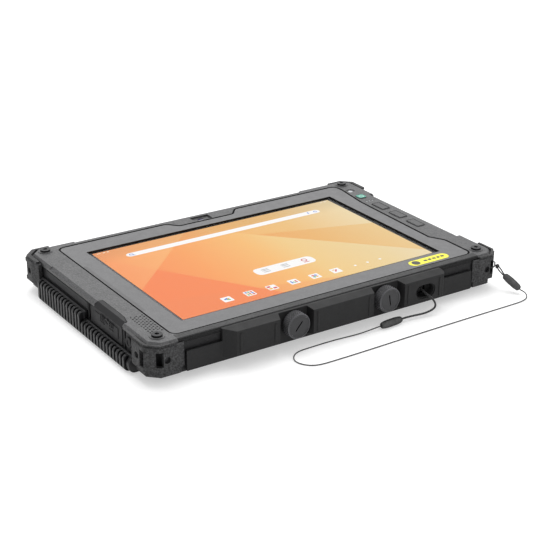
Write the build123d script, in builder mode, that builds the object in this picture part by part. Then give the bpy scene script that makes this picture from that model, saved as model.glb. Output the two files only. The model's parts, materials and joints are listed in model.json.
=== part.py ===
from build123d import *
import os

# Rugged data collector: an 8 inch touch tablet with four corner bumpers, ribbed side grips,
# a battery drawer behind a thumbscrewed front bar, hinged port doors and a tethered stylus.
# Millimetres. +Z up out of the screen, +Y towards the front camera, +X to the right.
# The origin is the centre of the rear plate's flat underside.

os.makedirs("parts", exist_ok=True)

# Heights
CASE_BOTTOM = 3.5  # underside of the back cover; the rear plate fills the space below it
COVER_TOP = 5.0  # back cover meets the chassis
PARTING = 20.5  # chassis meets the front frame
FRAME_TOP = 23.5
MID_BOTTOM = 17.0  # display support plate inside the chassis
MID_TOP = 18.2
GLASS_BOTTOM = 21.9
OVERLAY_BOTTOM = 22.6
OVERLAY_TOP = 23.3

# Plan sizes, as half widths
FRAME_X = 117.0
FRAME_Y = 75.4
FRAME_CUT = 5.5
CHASSIS_X = 116.6
CHASSIS_Y = 75.0
CHASSIS_CUT = 9.0
INNER_X = 111.5
INNER_Y = 72.0
INNER_CUT = 7.0
BUMPER_FRONT = (120.0, 77.6, 6.5)  # half width, half depth and 45 degree cut of the outline
BUMPER_BACK = (120.8, 78.4, 6.4)
BUMPER_END_X = 98.4
BUMPER_END_Y = 56.8
GAP = 0.05  # between parts that touch
PLAY = 0.3  # around parts that are meant to come off
OVERLAY_PLAY = 0.5  # around the display overlay

# Screen
SCREEN_W = 172.2
SCREEN_H = 107.6
WINDOW_W = 178.0
WINDOW_H = 112.1
WINDOW_Y = -0.75
CORNER_R = 4.5

# Case screws: two along the front edge, two along the camera edge
SCREW_X = 109.0
SCREW_FRONT_Y = -66.5
SCREW_BACK_Y = 69.3
CASE_SCREWS = [(x, y) for x in (-SCREW_X, SCREW_X) for y in (SCREW_FRONT_Y, SCREW_BACK_Y)]

# Keys along the right of the screen
KEY_X = 106.0
KEY_W = 6.4
KEY_L = 12.2
KEY_PITCH = 17.8
KEY_FIRST_Y = 22.3
KEY_YS = [KEY_FIRST_Y - KEY_PITCH * i for i in range(3)]
POWER_Y = 43.4
POWER_W = 6.0
POWER_L = 6.8
KEY_TOP = 23.9
KEY_PLAY = 0.2
KEY_FLANGE = 0.8
FLANGE_BOTTOM = 20.6
FLANGE_TOP = 21.4

# Port doors on the left side
DOOR_OUT = -117.0
DOOR_IN = -114.5
DOOR_TOP = PARTING - PLAY
HINGE_X = -115.8
HINGE_R = 1.3
PIN_R = 0.6
UPPER_HINGE_Y = -1.6
LOWER_HINGE_Y = -6.4
UPPER_DOOR_Y = 50.0
UPPER_DOOR_BOTTOM = 15.2
LOWER_DOOR_Y = -42.7
LOWER_DOOR_BOTTOM = 10.2
LIP_TOP = 23.7
AUDIO_Y = -50.0
AUDIO_Z = 15.0

# Front bar, thumbscrews and battery drawer
BAR_BACK = -75.5
PLATE_FRONT = -77.0
BAR_FRONT = -82.0
BAR_BOTTOM = 6.8
BAR_TOP = 23.3
PLATE_LEFT = -97.4
PLATE_RIGHT = 96.9
PLATE_BOTTOM = 4.5
PLATE_TOP = 16.0
BAR_LEFT = -75.8
BAR_RIGHT = 72.5
THUMB_X = 31.1
THUMB_Z = 15.4
THUMB_R = 7.6
THUMB_FACE = -83.4
SHOULDER_R = 2.5
SHANK_R = 2.0
DRAWER_LEFT = -64.0
DRAWER_RIGHT = 46.5
DRAWER_TOP = 12.4
DRAWER_BACK = 20.0

# Stylus
STYLUS_X = 58.0
STYLUS_Z = 14.2
STYLUS_R = 3.25
SLEEVE_R = 3.9
STYLUS_END = -76.0
STYLUS_TIP = 18.0

# Side grips
GRIP_OUT = 121.5
GRIP_BASE = 118.6
RIB_PITCH = 3.75
RIB_W = 2.0
UPPER_RIBS = 15
UPPER_RIB_Y = 53.6
UPPER_RIB_TOP = 13.5
LOWER_RIBS = 14
LOWER_RIB_Y = UPPER_RIB_Y - RIB_PITCH * UPPER_RIBS
LOWER_RIB_TOP = 9.2

# Rear camera
CAMERA_X = 80.0
CAMERA_Y = 66.0
FLASH_X = 66.0

# Hole pattern in the rear plate for a dock, bracket or hand strap
DOCK_X = 38.1
DOCK_Y = 30.2
INSERT_R = 2.8
INSERT_HOLE_R = 1.65

# Tether
CORD_R = 0.35
THICK_CORD_R = 0.6
BEAD_R = 2.3
TABLE_Z = 0.5  # height of the thin cord's centre where it lies beside the tablet


def block(x0, x1, y0, y1, z0, z1, mode=Mode.ADD):
    """Box between two opposite corners, in the open part."""
    with Locations(((x0 + x1) / 2, (y0 + y1) / 2, (z0 + z1) / 2)):
        Box(abs(x1 - x0), abs(y1 - y0), abs(z1 - z0), mode=mode)


def cut_rectangle(half_x, half_y, cut, mode=Mode.ADD):
    """Rectangle with its corners cut at 45 degrees, in the open sketch."""
    quarter = [(half_x, half_y - cut), (half_x - cut, half_y)]
    points = quarter + [(-x, y) for x, y in reversed(quarter)]
    points += [(-x, -y) for x, y in quarter] + [(x, -y) for x, y in reversed(quarter)]
    Polygon(*points, mode=mode)


def rod_x(x0, x1, y, z, radius, mode=Mode.ADD):
    """Round bar along X, in the open part."""
    with BuildSketch(Plane.YZ.offset(x0)) as profile:
        with Locations((y, z)):
            Circle(radius)
    extrude(profile.sketch, amount=x1 - x0, mode=mode)


def rod_y(y0, y1, x, z, radius, mode=Mode.ADD):
    """Round bar along Y, in the open part."""
    with BuildSketch(Plane.XZ.offset(-y1)) as profile:
        with Locations((x, z)):
            Circle(radius)
    extrude(profile.sketch, amount=y1 - y0, mode=mode)


def rod_z(z0, z1, spots, radius, mode=Mode.ADD):
    """Round bars along Z at the listed spots, in the open part."""
    with BuildSketch(Plane.XY.offset(z0)) as profile:
        with Locations(*spots):
            Circle(radius)
    extrude(profile.sketch, amount=z1 - z0, mode=mode)


# ------------------------------------------------------------------ outlines shared by parts
def screen_outline(grow=0.0):
    """Outline of the printed overlay: notched for the camera bay and for the key strip."""
    points = [
        (-101.4, -69.5), (103.4, -69.5), (103.4, -45.0), (98.2, -35.6), (100.2, 36.0),
        (103.4, 60.0), (103.4, 69.5), (23.5, 69.5), (18.0, 62.6), (-21.0, 62.6),
        (-27.0, 69.5), (-101.4, 69.5),
    ]
    Polygon(*points)
    fillet(vertices(), CORNER_R)
    if grow:
        offset(amount=grow)


def lip_outline(grow=0.0):
    """Plan of the lower door's thumb lip, which folds over the frame's edge."""
    Polygon((-117.4, -11.2), (-112.5, -11.2), (-112.5, -36.5), (-114.2, -43.2), (-117.4, -43.2))
    if grow:
        offset(amount=grow, kind=Kind.INTERSECTION)


def corner_band(side_x, side_y, outer, inner, end, tapers=None):
    """L-shaped band around one case corner. outer and inner are (x, y, 45 degree cut).

    tapers is (along Y, along X, depth): how far each end thins towards its tip.
    """
    outer_x, outer_y, outer_cut = outer
    inner_x, inner_y, inner_cut = inner
    end_x, end_y = end
    side_end = [(outer_x, end_y)]
    front_end = [(end_x, outer_y)]
    if tapers:
        along_y, along_x, depth = tapers
        side_end = [(outer_x - depth, end_y), (outer_x, end_y + along_y)]
        front_end = [(end_x + along_x, outer_y), (end_x, outer_y - depth)]
    points = side_end + [(outer_x, outer_y - outer_cut), (outer_x - outer_cut, outer_y)]
    points += front_end + [
        (end_x, inner_y), (inner_x - inner_cut, inner_y), (inner_x, inner_y - inner_cut),
        (inner_x, end_y),
    ]
    Polygon(*[(side_x * x, side_y * y) for x, y in points])


CORNERS = [(-1, -1), (1, -1), (-1, 1), (1, 1)]
SIDE_SCREW_Z = 14.6
END_SCREW_X = 109.0
END_SCREW_Z = 14.2
FOOT_OUTER = (118.0, 75.6, 6.0)
FOOT_INNER = (114.0, 71.6, 4.0)
FOOT_END = (100.0, 60.0)
FOOT_TOP = 7.2


def side_screw_y(side_y):
    """Y of the bumper screws in the short sides, front or back."""
    return 67.2 if side_y > 0 else -63.9


def foot_pockets():
    """Cut the room for the four bumper feet out of the open part."""
    inner = (FOOT_INNER[0] - GAP, FOOT_INNER[1] - GAP, FOOT_INNER[2])
    outer = (FRAME_X + 5, FRAME_Y + 5, 1.0)
    end = (FOOT_END[0] - GAP, FOOT_END[1] - GAP)
    with BuildSketch(Plane.XY.offset(CASE_BOTTOM - 1)) as pockets:
        for side_x, side_y in CORNERS:
            corner_band(side_x, side_y, outer, inner, end)
    extrude(pockets.sketch, amount=FOOT_TOP + GAP - CASE_BOTTOM + 1, mode=Mode.SUBTRACT)


# ------------------------------------------------------------------ front frame
BEVEL = 1.2
GRILLE_X = -106.6
GRILLE_Y = -50.5
GRILLE_HOLE_R = 0.55
CAMERA_BAY = (-9.5, 3.5, 63.6, 70.4)
FRONT_CAMERA = (-3.0, 67.0)
SENSOR = (106.8, 56.2)
LED_SPOTS = [(104.0, 34.4), (106.3, 34.4), (108.6, 34.4)]

with BuildPart() as front_frame:
    with BuildSketch(Plane.XY.offset(PARTING)):
        cut_rectangle(FRAME_X, FRAME_Y, FRAME_CUT)
    extrude(amount=FRAME_TOP - PARTING)
    chamfer(front_frame.faces().sort_by(Axis.Z)[-1].edges(), BEVEL)
    # Finger bevels along both short sides
    with BuildSketch(Plane.XZ.offset(-46.0)):
        Polygon((-FRAME_X - 1, 21.2), (-114.6, FRAME_TOP + 0.2), (-FRAME_X - 1, FRAME_TOP + 0.2),
                align=None)
    extrude(amount=57.0, mode=Mode.SUBTRACT)
    with BuildSketch(Plane.XZ.offset(-44.0)):
        Polygon((FRAME_X + 1, 20.9), (112.6, FRAME_TOP + 0.2), (FRAME_X + 1, FRAME_TOP + 0.2),
                align=None)
    extrude(amount=88.0, mode=Mode.SUBTRACT)
    # Wider bevel along the camera edge, between the bumpers
    with BuildSketch(Plane.YZ.offset(-88.0)):
        Polygon((72.6, FRAME_TOP + 0.05), (FRAME_Y + 1, 21.6), (FRAME_Y + 1, FRAME_TOP + 0.05))
    extrude(amount=166.0, mode=Mode.SUBTRACT)
    # Raised pads under the case screws, and their holes
    rod_z(FRAME_TOP - 1.5, FRAME_TOP + 0.4, CASE_SCREWS, 4.2)
    rod_z(PARTING, FRAME_TOP + 1, CASE_SCREWS, 1.6, Mode.SUBTRACT)
    # Pocket for the overlay and the glass, and the opening around the display
    with BuildSketch(Plane.XY.offset(GLASS_BOTTOM)):
        screen_outline(OVERLAY_PLAY)
    extrude(amount=FRAME_TOP + 1 - GLASS_BOTTOM, mode=Mode.SUBTRACT)
    with BuildSketch(Plane.XY.offset(PARTING)):
        with Locations((0, WINDOW_Y)):
            Rectangle(WINDOW_W + 1.0, WINDOW_H + 1.0)
    extrude(amount=FRAME_TOP - PARTING, mode=Mode.SUBTRACT)
    # Groove for the display gasket
    with BuildSketch(Plane.XY.offset(GLASS_BOTTOM - 0.6)):
        with Locations((0, WINDOW_Y)):
            Rectangle(WINDOW_W + 6.0, WINDOW_H + 6.0)
            Rectangle(WINDOW_W + 3.0, WINDOW_H + 3.0, mode=Mode.SUBTRACT)
    extrude(amount=1.0, mode=Mode.SUBTRACT)
    # Camera bay, lens seat and microphone hole
    block(*CAMERA_BAY, FRAME_TOP - 1.2, FRAME_TOP + 1, mode=Mode.SUBTRACT)
    rod_z(PARTING, FRAME_TOP, [FRONT_CAMERA], 2.2, Mode.SUBTRACT)
    rod_z(FRAME_TOP - 1.6, FRAME_TOP + 1, [(-22.0, 68.4)], 0.5, Mode.SUBTRACT)
    # Key holes with room for the key flanges below
    with BuildSketch(Plane.XY.offset(PARTING)):
        with Locations(*[(KEY_X, y) for y in KEY_YS]):
            RectangleRounded(KEY_W + 2 * KEY_PLAY, KEY_L + 2 * KEY_PLAY, 1.2)
        with Locations((KEY_X, POWER_Y)):
            RectangleRounded(POWER_W + 2 * KEY_PLAY, POWER_L + 2 * KEY_PLAY, 2.4)
    extrude(amount=FRAME_TOP + 1 - PARTING, mode=Mode.SUBTRACT)
    flange_room = 2 * (KEY_FLANGE + PLAY)
    with BuildSketch(Plane.XY.offset(PARTING)):
        with Locations(*[(KEY_X, y) for y in KEY_YS]):
            Rectangle(KEY_W + flange_room, KEY_L + flange_room)
        with Locations((KEY_X, POWER_Y)):
            Rectangle(POWER_W + flange_room, POWER_L + flange_room)
    extrude(amount=FLANGE_TOP + 0.2 - PARTING, mode=Mode.SUBTRACT)
    # Light sensor dish and status light slots
    rod_z(PARTING, FRAME_TOP + 1, [SENSOR], 1.7, Mode.SUBTRACT)
    rod_z(FRAME_TOP - 0.4, FRAME_TOP + 1, [SENSOR], 3.0, Mode.SUBTRACT)
    with BuildSketch(Plane.XY.offset(PARTING)):
        with Locations(*LED_SPOTS):
            Rectangle(0.9, 2.0)
    extrude(amount=FRAME_TOP + 1 - PARTING, mode=Mode.SUBTRACT)
    # Speaker grille: two staggered grids of small holes
    with BuildSketch(Plane.XY.offset(PARTING)):
        with Locations((GRILLE_X, GRILLE_Y)):
            with GridLocations(3.4, 2.4, 3, 10):
                Circle(GRILLE_HOLE_R)
            with GridLocations(3.4, 2.4, 2, 9):
                Circle(GRILLE_HOLE_R)
    extrude(amount=FRAME_TOP + 1 - PARTING, mode=Mode.SUBTRACT)
    # Room for the lower door's lip, and for the tops of the hinge pins
    with BuildSketch(Plane.XY.offset(PARTING)):
        lip_outline(0.4)
    extrude(amount=FRAME_TOP + 1 - PARTING, mode=Mode.SUBTRACT)
    rod_z(PARTING, 21.5, [(HINGE_X, UPPER_HINGE_Y), (HINGE_X, LOWER_HINGE_Y)], PIN_R + 0.02,
          Mode.SUBTRACT)
front_frame.part.label = "front_frame"
export_step(front_frame.part, "parts/front_frame.step")

# ------------------------------------------------------------------ screen stack
with BuildPart() as display_overlay:
    with BuildSketch(Plane.XY.offset(OVERLAY_BOTTOM)):
        screen_outline()
        with Locations((0, WINDOW_Y)):
            Rectangle(WINDOW_W, WINDOW_H, mode=Mode.SUBTRACT)
    extrude(amount=OVERLAY_TOP - OVERLAY_BOTTOM)
display_overlay.part.label = "display_overlay"
export_step(display_overlay.part, "parts/display_overlay.step")

with BuildPart() as touch_glass:
    with BuildSketch(Plane.XY.offset(GLASS_BOTTOM)):
        screen_outline()
    extrude(amount=OVERLAY_BOTTOM - GLASS_BOTTOM)
touch_glass.part.label = "touch_glass"
export_step(touch_glass.part, "parts/touch_glass.step")

with BuildPart() as display_gasket:
    with BuildSketch(Plane.XY.offset(GLASS_BOTTOM - 0.6)):
        with Locations((0, WINDOW_Y)):
            Rectangle(WINDOW_W + 5.6, WINDOW_H + 5.6)
            Rectangle(WINDOW_W + 3.4, WINDOW_H + 3.4, mode=Mode.SUBTRACT)
    extrude(amount=0.6)
display_gasket.part.label = "display_gasket"
export_step(display_gasket.part, "parts/display_gasket.step")

with BuildPart() as display_panel:
    with BuildSketch(Plane.XY.offset(MID_TOP)):
        with Locations((0, WINDOW_Y)):
            Rectangle(WINDOW_W, WINDOW_H)
    extrude(amount=GLASS_BOTTOM - MID_TOP)
    # Shallow step around the image area
    with BuildSketch(Plane.XY.offset(GLASS_BOTTOM - 0.1)):
        with Locations((0, WINDOW_Y)):
            Rectangle(WINDOW_W, WINDOW_H)
        Rectangle(SCREEN_W, SCREEN_H, mode=Mode.SUBTRACT)
    extrude(amount=0.1, mode=Mode.SUBTRACT)
display_panel.part.label = "display_panel"
export_step(display_panel.part, "parts/display_panel.step")

# ------------------------------------------------------------------ chassis
RECESS_FLOOR = -114.2
BOARD_BOTTOM = 9.0
BOARD_TOP = 10.4
STANDOFFS = [(-90.0, 62.0), (-90.0, -56.0), (60.0, 62.0), (0.0, 62.0)]
THUMB_BOSS_R = 3.2
THUMB_BOSS_END = -66.0

with BuildPart() as chassis:
    with BuildSketch(Plane.XY.offset(COVER_TOP)):
        cut_rectangle(CHASSIS_X, CHASSIS_Y, CHASSIS_CUT)
        cut_rectangle(INNER_X, INNER_Y, INNER_CUT, mode=Mode.SUBTRACT)
    extrude(amount=PARTING - COVER_TOP)
    with BuildSketch(Plane.XY.offset(MID_BOTTOM)):
        cut_rectangle(INNER_X + 1, INNER_Y + 1, INNER_CUT)
    extrude(amount=MID_TOP - MID_BOTTOM)
    # Columns for the case screws, standoffs for the main board, bosses for the thumbscrews
    rod_z(COVER_TOP, PARTING, CASE_SCREWS, 3.0)
    rod_z(BOARD_TOP, MID_BOTTOM + 0.5, STANDOFFS, 2.6)
    for side in (-1, 1):
        rod_y(-INNER_Y - 1, THUMB_BOSS_END, side * THUMB_X, THUMB_Z, THUMB_BOSS_R)
        rod_y(-CHASSIS_Y, THUMB_BOSS_END, side * THUMB_X, THUMB_Z, SHANK_R + GAP, Mode.SUBTRACT)
        rod_y(-CHASSIS_Y, -CHASSIS_Y + 1.2, side * THUMB_X, THUMB_Z, 4.0, Mode.SUBTRACT)
    rod_z(12.0, PARTING, CASE_SCREWS, 1.45, Mode.SUBTRACT)
    rod_z(COVER_TOP, 11.0, CASE_SCREWS, 1.25, Mode.SUBTRACT)
    rod_z(BOARD_TOP, 14.4, STANDOFFS, 1.05, Mode.SUBTRACT)
    # Drawer mouth, and the bore and channel for the stylus sleeve
    block(DRAWER_LEFT, DRAWER_RIGHT, -CHASSIS_Y - 1, -INNER_Y + 1, COVER_TOP - 1, DRAWER_TOP,
          mode=Mode.SUBTRACT)
    rod_y(-CHASSIS_Y - 1, -INNER_Y + 1, STYLUS_X, STYLUS_Z, SLEEVE_R + 0.1, Mode.SUBTRACT)
    block(STYLUS_X - 5.5, STYLUS_X + 5.5, -INNER_Y, DRAWER_BACK + 3, MID_BOTTOM - 1, MID_TOP + 1,
          mode=Mode.SUBTRACT)
    foot_pockets()
    # Recesses for the port doors and their hinges
    block(-CHASSIS_X - 1, RECESS_FLOOR, -0.5, UPPER_DOOR_Y + PLAY, UPPER_DOOR_BOTTOM - PLAY, PARTING,
          mode=Mode.SUBTRACT)
    block(-CHASSIS_X - 1, RECESS_FLOOR, LOWER_DOOR_Y - PLAY, -0.2, LOWER_DOOR_BOTTOM - PLAY, PARTING,
          mode=Mode.SUBTRACT)
    rod_z(8.6, LOWER_DOOR_BOTTOM, [(HINGE_X, UPPER_HINGE_Y), (HINGE_X, LOWER_HINGE_Y)], PIN_R + 0.02,
          Mode.SUBTRACT)
    # Openings to the card reader, the two USB ports and the audio jack
    block(-115.0, -INNER_X + 1, 9.0, 23.0, 15.5, 16.6, mode=Mode.SUBTRACT)
    block(-115.0, -INNER_X + 1, -34.4, -20.4, 11.6, 16.0, mode=Mode.SUBTRACT)
    block(-115.0, -INNER_X + 1, -17.6, -10.4, 12.4, 15.2, mode=Mode.SUBTRACT)
    rod_x(-CHASSIS_X - 1, -115.4, AUDIO_Y, AUDIO_Z, 3.2, Mode.SUBTRACT)
    rod_x(-CHASSIS_X - 1, -INNER_X + 1, AUDIO_Y, AUDIO_Z, 1.9, Mode.SUBTRACT)
    # Shadow groove between the lower door and the audio plug
    block(-CHASSIS_X - 1, -115.4, -46.6, -45.0, 9.0, PARTING, mode=Mode.SUBTRACT)
    # Room for the shanks of the bumper screws
    for side_x, side_y in CORNERS:
        rod_x(side_x * (CHASSIS_X - 4), side_x * (CHASSIS_X + 1), side_screw_y(side_y), SIDE_SCREW_Z,
              1.05, Mode.SUBTRACT)
        rod_y(side_y * (CHASSIS_Y - 2.4), side_y * (CHASSIS_Y + 1), side_x * END_SCREW_X,
              END_SCREW_Z, 1.05, Mode.SUBTRACT)
chassis.part.label = "chassis"
export_step(chassis.part, "parts/chassis.step")

# ------------------------------------------------------------------ back cover and rear plate
INSERTS = [(x * DOCK_X / 2, y * DOCK_Y / 2) for x in (-1, 1) for y in (-1, 1)]
PLATE_HALF_X = 104.0
PLATE_HALF_Y = 60.0
LENS_R = 4.0
FLASH_R = 2.4

with BuildPart() as back_cover:
    with BuildSketch(Plane.XY.offset(CASE_BOTTOM)):
        cut_rectangle(CHASSIS_X - 0.4, CHASSIS_Y - 0.4, CHASSIS_CUT)
        with Locations(*CASE_SCREWS):
            Circle(1.4, mode=Mode.SUBTRACT)
        with Locations(*INSERTS):
            Circle(INSERT_R, mode=Mode.SUBTRACT)
        with Locations((CAMERA_X, CAMERA_Y)):
            Circle(LENS_R, mode=Mode.SUBTRACT)
        with Locations((FLASH_X, CAMERA_Y)):
            Circle(FLASH_R, mode=Mode.SUBTRACT)
    extrude(amount=COVER_TOP - CASE_BOTTOM)
    rod_z(CASE_BOTTOM - 1, CASE_BOTTOM + 0.7, CASE_SCREWS, 2.2, Mode.SUBTRACT)
    foot_pockets()
back_cover.part.label = "back_cover"
export_step(back_cover.part, "parts/back_cover.step")

with BuildPart() as rear_plate:
    with BuildSketch():
        cut_rectangle(PLATE_HALF_X, PLATE_HALF_Y, 10.0)
    extrude(amount=CASE_BOTTOM)
    chamfer(rear_plate.faces().sort_by(Axis.Z)[0].edges(), 1.2)
    # Raised border left by a shallow tray in the underside, around the flat middle
    with BuildSketch():
        cut_rectangle(PLATE_HALF_X - 8, PLATE_HALF_Y - 8, 8.0)
        Rectangle(120, 84, mode=Mode.SUBTRACT)
    extrude(amount=0.8, mode=Mode.SUBTRACT)
    rod_z(0, CASE_BOTTOM, INSERTS, INSERT_R, Mode.SUBTRACT)
rear_plate.part.label = "rear_plate"
export_step(rear_plate.part, "parts/rear_plate.step")

with BuildPart() as dock_inserts:
    with BuildSketch():
        with Locations(*INSERTS):
            Circle(INSERT_R)
            Circle(INSERT_HOLE_R, mode=Mode.SUBTRACT)
    extrude(amount=COVER_TOP)
dock_inserts.part.label = "dock_inserts"
export_step(dock_inserts.part, "parts/dock_inserts.step")

# ------------------------------------------------------------------ fasteners
SOCKET = 2.6


def add_screw(base, shank_r, shank_length, head_r, head_height):
    """Pan head screw with a hexagon socket; base's +Z runs from the shank out of the head."""
    with BuildSketch(base) as head:
        Circle(head_r)
    extrude(head.sketch, amount=head_height)
    with BuildSketch(base) as shank:
        Circle(shank_r)
    extrude(shank.sketch, amount=-shank_length)
    with BuildSketch(base.offset(head_height)) as socket:
        RegularPolygon(SOCKET / 2, 6)
    extrude(socket.sketch, amount=-0.6 * head_height, mode=Mode.SUBTRACT)


with BuildPart() as case_screws:
    for x, y in CASE_SCREWS:
        add_screw(Plane((x, y, FRAME_TOP + 0.4)), 1.4, 11.0, 3.0, 1.1)
case_screws.part.label = "case_screws"
export_step(case_screws.part, "parts/case_screws.step")

with BuildPart() as back_screws:
    for x, y in CASE_SCREWS:
        add_screw(Plane((x, y, CASE_BOTTOM + 0.7), z_dir=(0, 0, -1)), 1.2, 6.0, 2.1, 0.65)
back_screws.part.label = "back_screws"
export_step(back_screws.part, "parts/back_screws.step")

RECESS_R = 1.9
SEAT_X = FRAME_X + 1.2  # bottom of the recesses in the bumpers' side walls
SEAT_Y = FRAME_Y + 0.4  # and in their end walls

with BuildPart() as bumper_screws:
    for side_x, side_y in CORNERS:
        side_base = Plane((side_x * SEAT_X, side_screw_y(side_y), SIDE_SCREW_Z), z_dir=(side_x, 0, 0))
        end_base = Plane((side_x * END_SCREW_X, side_y * SEAT_Y, END_SCREW_Z), z_dir=(0, side_y, 0))
        add_screw(side_base, 1.0, 5.0, 1.6, 0.7)
        add_screw(end_base, 1.0, 2.8, 1.6, 0.7)
bumper_screws.part.label = "bumper_screws"
export_step(bumper_screws.part, "parts/bumper_screws.step")

# ------------------------------------------------------------------ corner bumpers
WALL_BOTTOM = 7.8
WALL_TOP = 21.5
LIP_RIM = 22.9
BUMPER_INNER = (FRAME_X + GAP, FRAME_Y + GAP, FRAME_CUT)


def bumper(side_x, side_y):
    """Corner bumper: slotted wall, stepped lip above it and an inset foot below it."""
    outer = BUMPER_BACK if side_y > 0 else BUMPER_FRONT
    outer_x, outer_y, outer_cut = outer
    end = (BUMPER_END_X, BUMPER_END_Y)
    tapers = (7.0, 4.6, 1.5) if side_y > 0 else (2.0, 4.6, 1.5)
    with BuildPart() as part:
        with BuildSketch(Plane.XY.offset(WALL_BOTTOM)):
            corner_band(side_x, side_y, outer, BUMPER_INNER, end, tapers)
        extrude(amount=WALL_TOP - WALL_BOTTOM)
        with BuildSketch(Plane.XY.offset(WALL_TOP)):
            corner_band(side_x, side_y, (outer_x - 0.6, outer_y - 0.6, outer_cut - 0.2),
                        (FRAME_X + 0.8, FRAME_Y + 0.5, FRAME_CUT), (end[0] + 5, end[1] + 1.5))
        extrude(amount=LIP_RIM - WALL_TOP)
        with BuildSketch(Plane.XY.offset(CASE_BOTTOM)):
            corner_band(side_x, side_y, FOOT_OUTER, FOOT_INNER, FOOT_END)
        extrude(amount=FOOT_TOP - CASE_BOTTOM)
        chamfer(part.faces().sort_by(Axis.Z)[0].edges(), 0.6)
        # Inset neck that joins the foot to the wall
        with BuildSketch(Plane.XY.offset(FOOT_TOP)):
            corner_band(side_x, side_y, FOOT_OUTER, BUMPER_INNER, FOOT_END)
        extrude(amount=WALL_BOTTOM - FOOT_TOP)
        # Lanyard slots either side of the 45 degree strip, which is the lanyard post
        screw_y = side_screw_y(side_y)
        block(side_x * (outer_x + 1), side_x * 113.0, screw_y + side_y * 3.4, screw_y + side_y * 7.3,
              10.0, 19.2, mode=Mode.SUBTRACT)
        block(side_x * 111.4, side_x * 115.0, side_y * 73.0, side_y * (outer_y + 1), 10.8, 19.2,
              mode=Mode.SUBTRACT)
        # Recesses and holes for the bumper screws
        end_x = side_x * END_SCREW_X
        rod_x(side_x * SEAT_X, side_x * (outer_x + 1), screw_y, SIDE_SCREW_Z, RECESS_R, Mode.SUBTRACT)
        rod_x(side_x * (FRAME_X - 1), side_x * SEAT_X, screw_y, SIDE_SCREW_Z, 1.1, Mode.SUBTRACT)
        rod_y(side_y * SEAT_Y, side_y * (outer_y + 1), end_x, END_SCREW_Z, RECESS_R, Mode.SUBTRACT)
        rod_y(side_y * (FRAME_Y - 1), side_y * SEAT_Y, end_x, END_SCREW_Z, 1.1, Mode.SUBTRACT)
    return part


bumper_front_left = bumper(-1, -1)
bumper_front_left.part.label = "bumper_front_left"
export_step(bumper_front_left.part, "parts/bumper_front_left.step")

bumper_front_right = bumper(1, -1)
bumper_front_right.part.label = "bumper_front_right"
export_step(bumper_front_right.part, "parts/bumper_front_right.step")

bumper_back_left = bumper(-1, 1)
bumper_back_left.part.label = "bumper_back_left"
export_step(bumper_back_left.part, "parts/bumper_back_left.step")

bumper_back_right = bumper(1, 1)
bumper_back_right.part.label = "bumper_back_right"
export_step(bumper_back_right.part, "parts/bumper_back_right.step")

# ------------------------------------------------------------------ side grips
GRIP_IN = CHASSIS_X + GAP
GRIP_INNER_END = PLATE_HALF_X + 0.6
GRIP_CEILING = CASE_BOTTOM - GAP


def grip_profile(outer, top, bottom, corner):
    """Section of the left grip across Y: up the side wall and under the case."""
    with BuildLine() as edge:
        Polyline((-GRIP_IN, top), (-outer + corner / 2, top))
        ThreePointArc((-outer + corner / 2, top), (-outer + corner * 0.15, top - corner * 0.3),
                      (-outer, top - corner))
        Polyline((-outer, top - corner), (-outer, bottom + corner))
        ThreePointArc((-outer, bottom + corner), (-outer + corner * 0.3, bottom + corner * 0.3),
                      (-outer + corner, bottom))
        Polyline((-outer + corner, bottom), (-GRIP_INNER_END, bottom), (-GRIP_INNER_END, GRIP_CEILING),
                 (-GRIP_IN, GRIP_CEILING), (-GRIP_IN, top))
    make_face(edge.edges())


def grip_run(y_high, y_low, outer, top, bottom, corner):
    """Length of grip between two Y positions."""
    with BuildSketch(Plane.XZ.offset(-y_high)) as section:
        grip_profile(outer, top, bottom, corner)
    extrude(section.sketch, amount=y_high - y_low)


with BuildPart() as side_grip_left:
    upper_end = UPPER_RIB_Y - RIB_PITCH * (UPPER_RIBS - 1)
    lower_end = LOWER_RIB_Y - RIB_PITCH * (LOWER_RIBS - 1)
    grip_run(UPPER_RIB_Y + 1.4, upper_end - 1.8, GRIP_BASE, UPPER_RIB_TOP + 0.6, 1.6, 1.5)
    grip_run(upper_end - 1.8, lower_end - 4.0, GRIP_BASE, LOWER_RIB_TOP + 0.4, 1.6, 1.5)
    for i in range(UPPER_RIBS):
        y = UPPER_RIB_Y - RIB_PITCH * i
        grip_run(y + RIB_W / 2, y - RIB_W / 2, GRIP_OUT, UPPER_RIB_TOP, 0.0, 3.0)
    for i in range(LOWER_RIBS):
        y = LOWER_RIB_Y - RIB_PITCH * i
        grip_run(y + RIB_W / 2, y - RIB_W / 2, GRIP_OUT, LOWER_RIB_TOP, 0.0, 3.0)
    grip_run(lower_end - 1.8, lower_end - 5.2, GRIP_OUT - 0.8, LOWER_RIB_TOP - 1.0, 0.4, 3.6)
side_grip_left.part.label = "side_grip_left"
export_step(side_grip_left.part, "parts/side_grip_left.step")

with BuildPart() as side_grip_right:
    mirror(side_grip_left.part, about=Plane.YZ)
side_grip_right.part.label = "side_grip_right"
export_step(side_grip_right.part, "parts/side_grip_right.step")

# ------------------------------------------------------------------ port doors and audio plug
def hinge_barrel(y, z0, z1):
    """Door knuckle around a hinge pin, in the open part."""
    rod_z(z0, z1, [(HINGE_X, y)], HINGE_R)


def hinge_bore(y, z0, z1):
    """Pin hole of a door knuckle, in the open part."""
    rod_z(z0 - 1, z1 + 1, [(HINGE_X, y)], PIN_R + 0.05, Mode.SUBTRACT)


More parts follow.
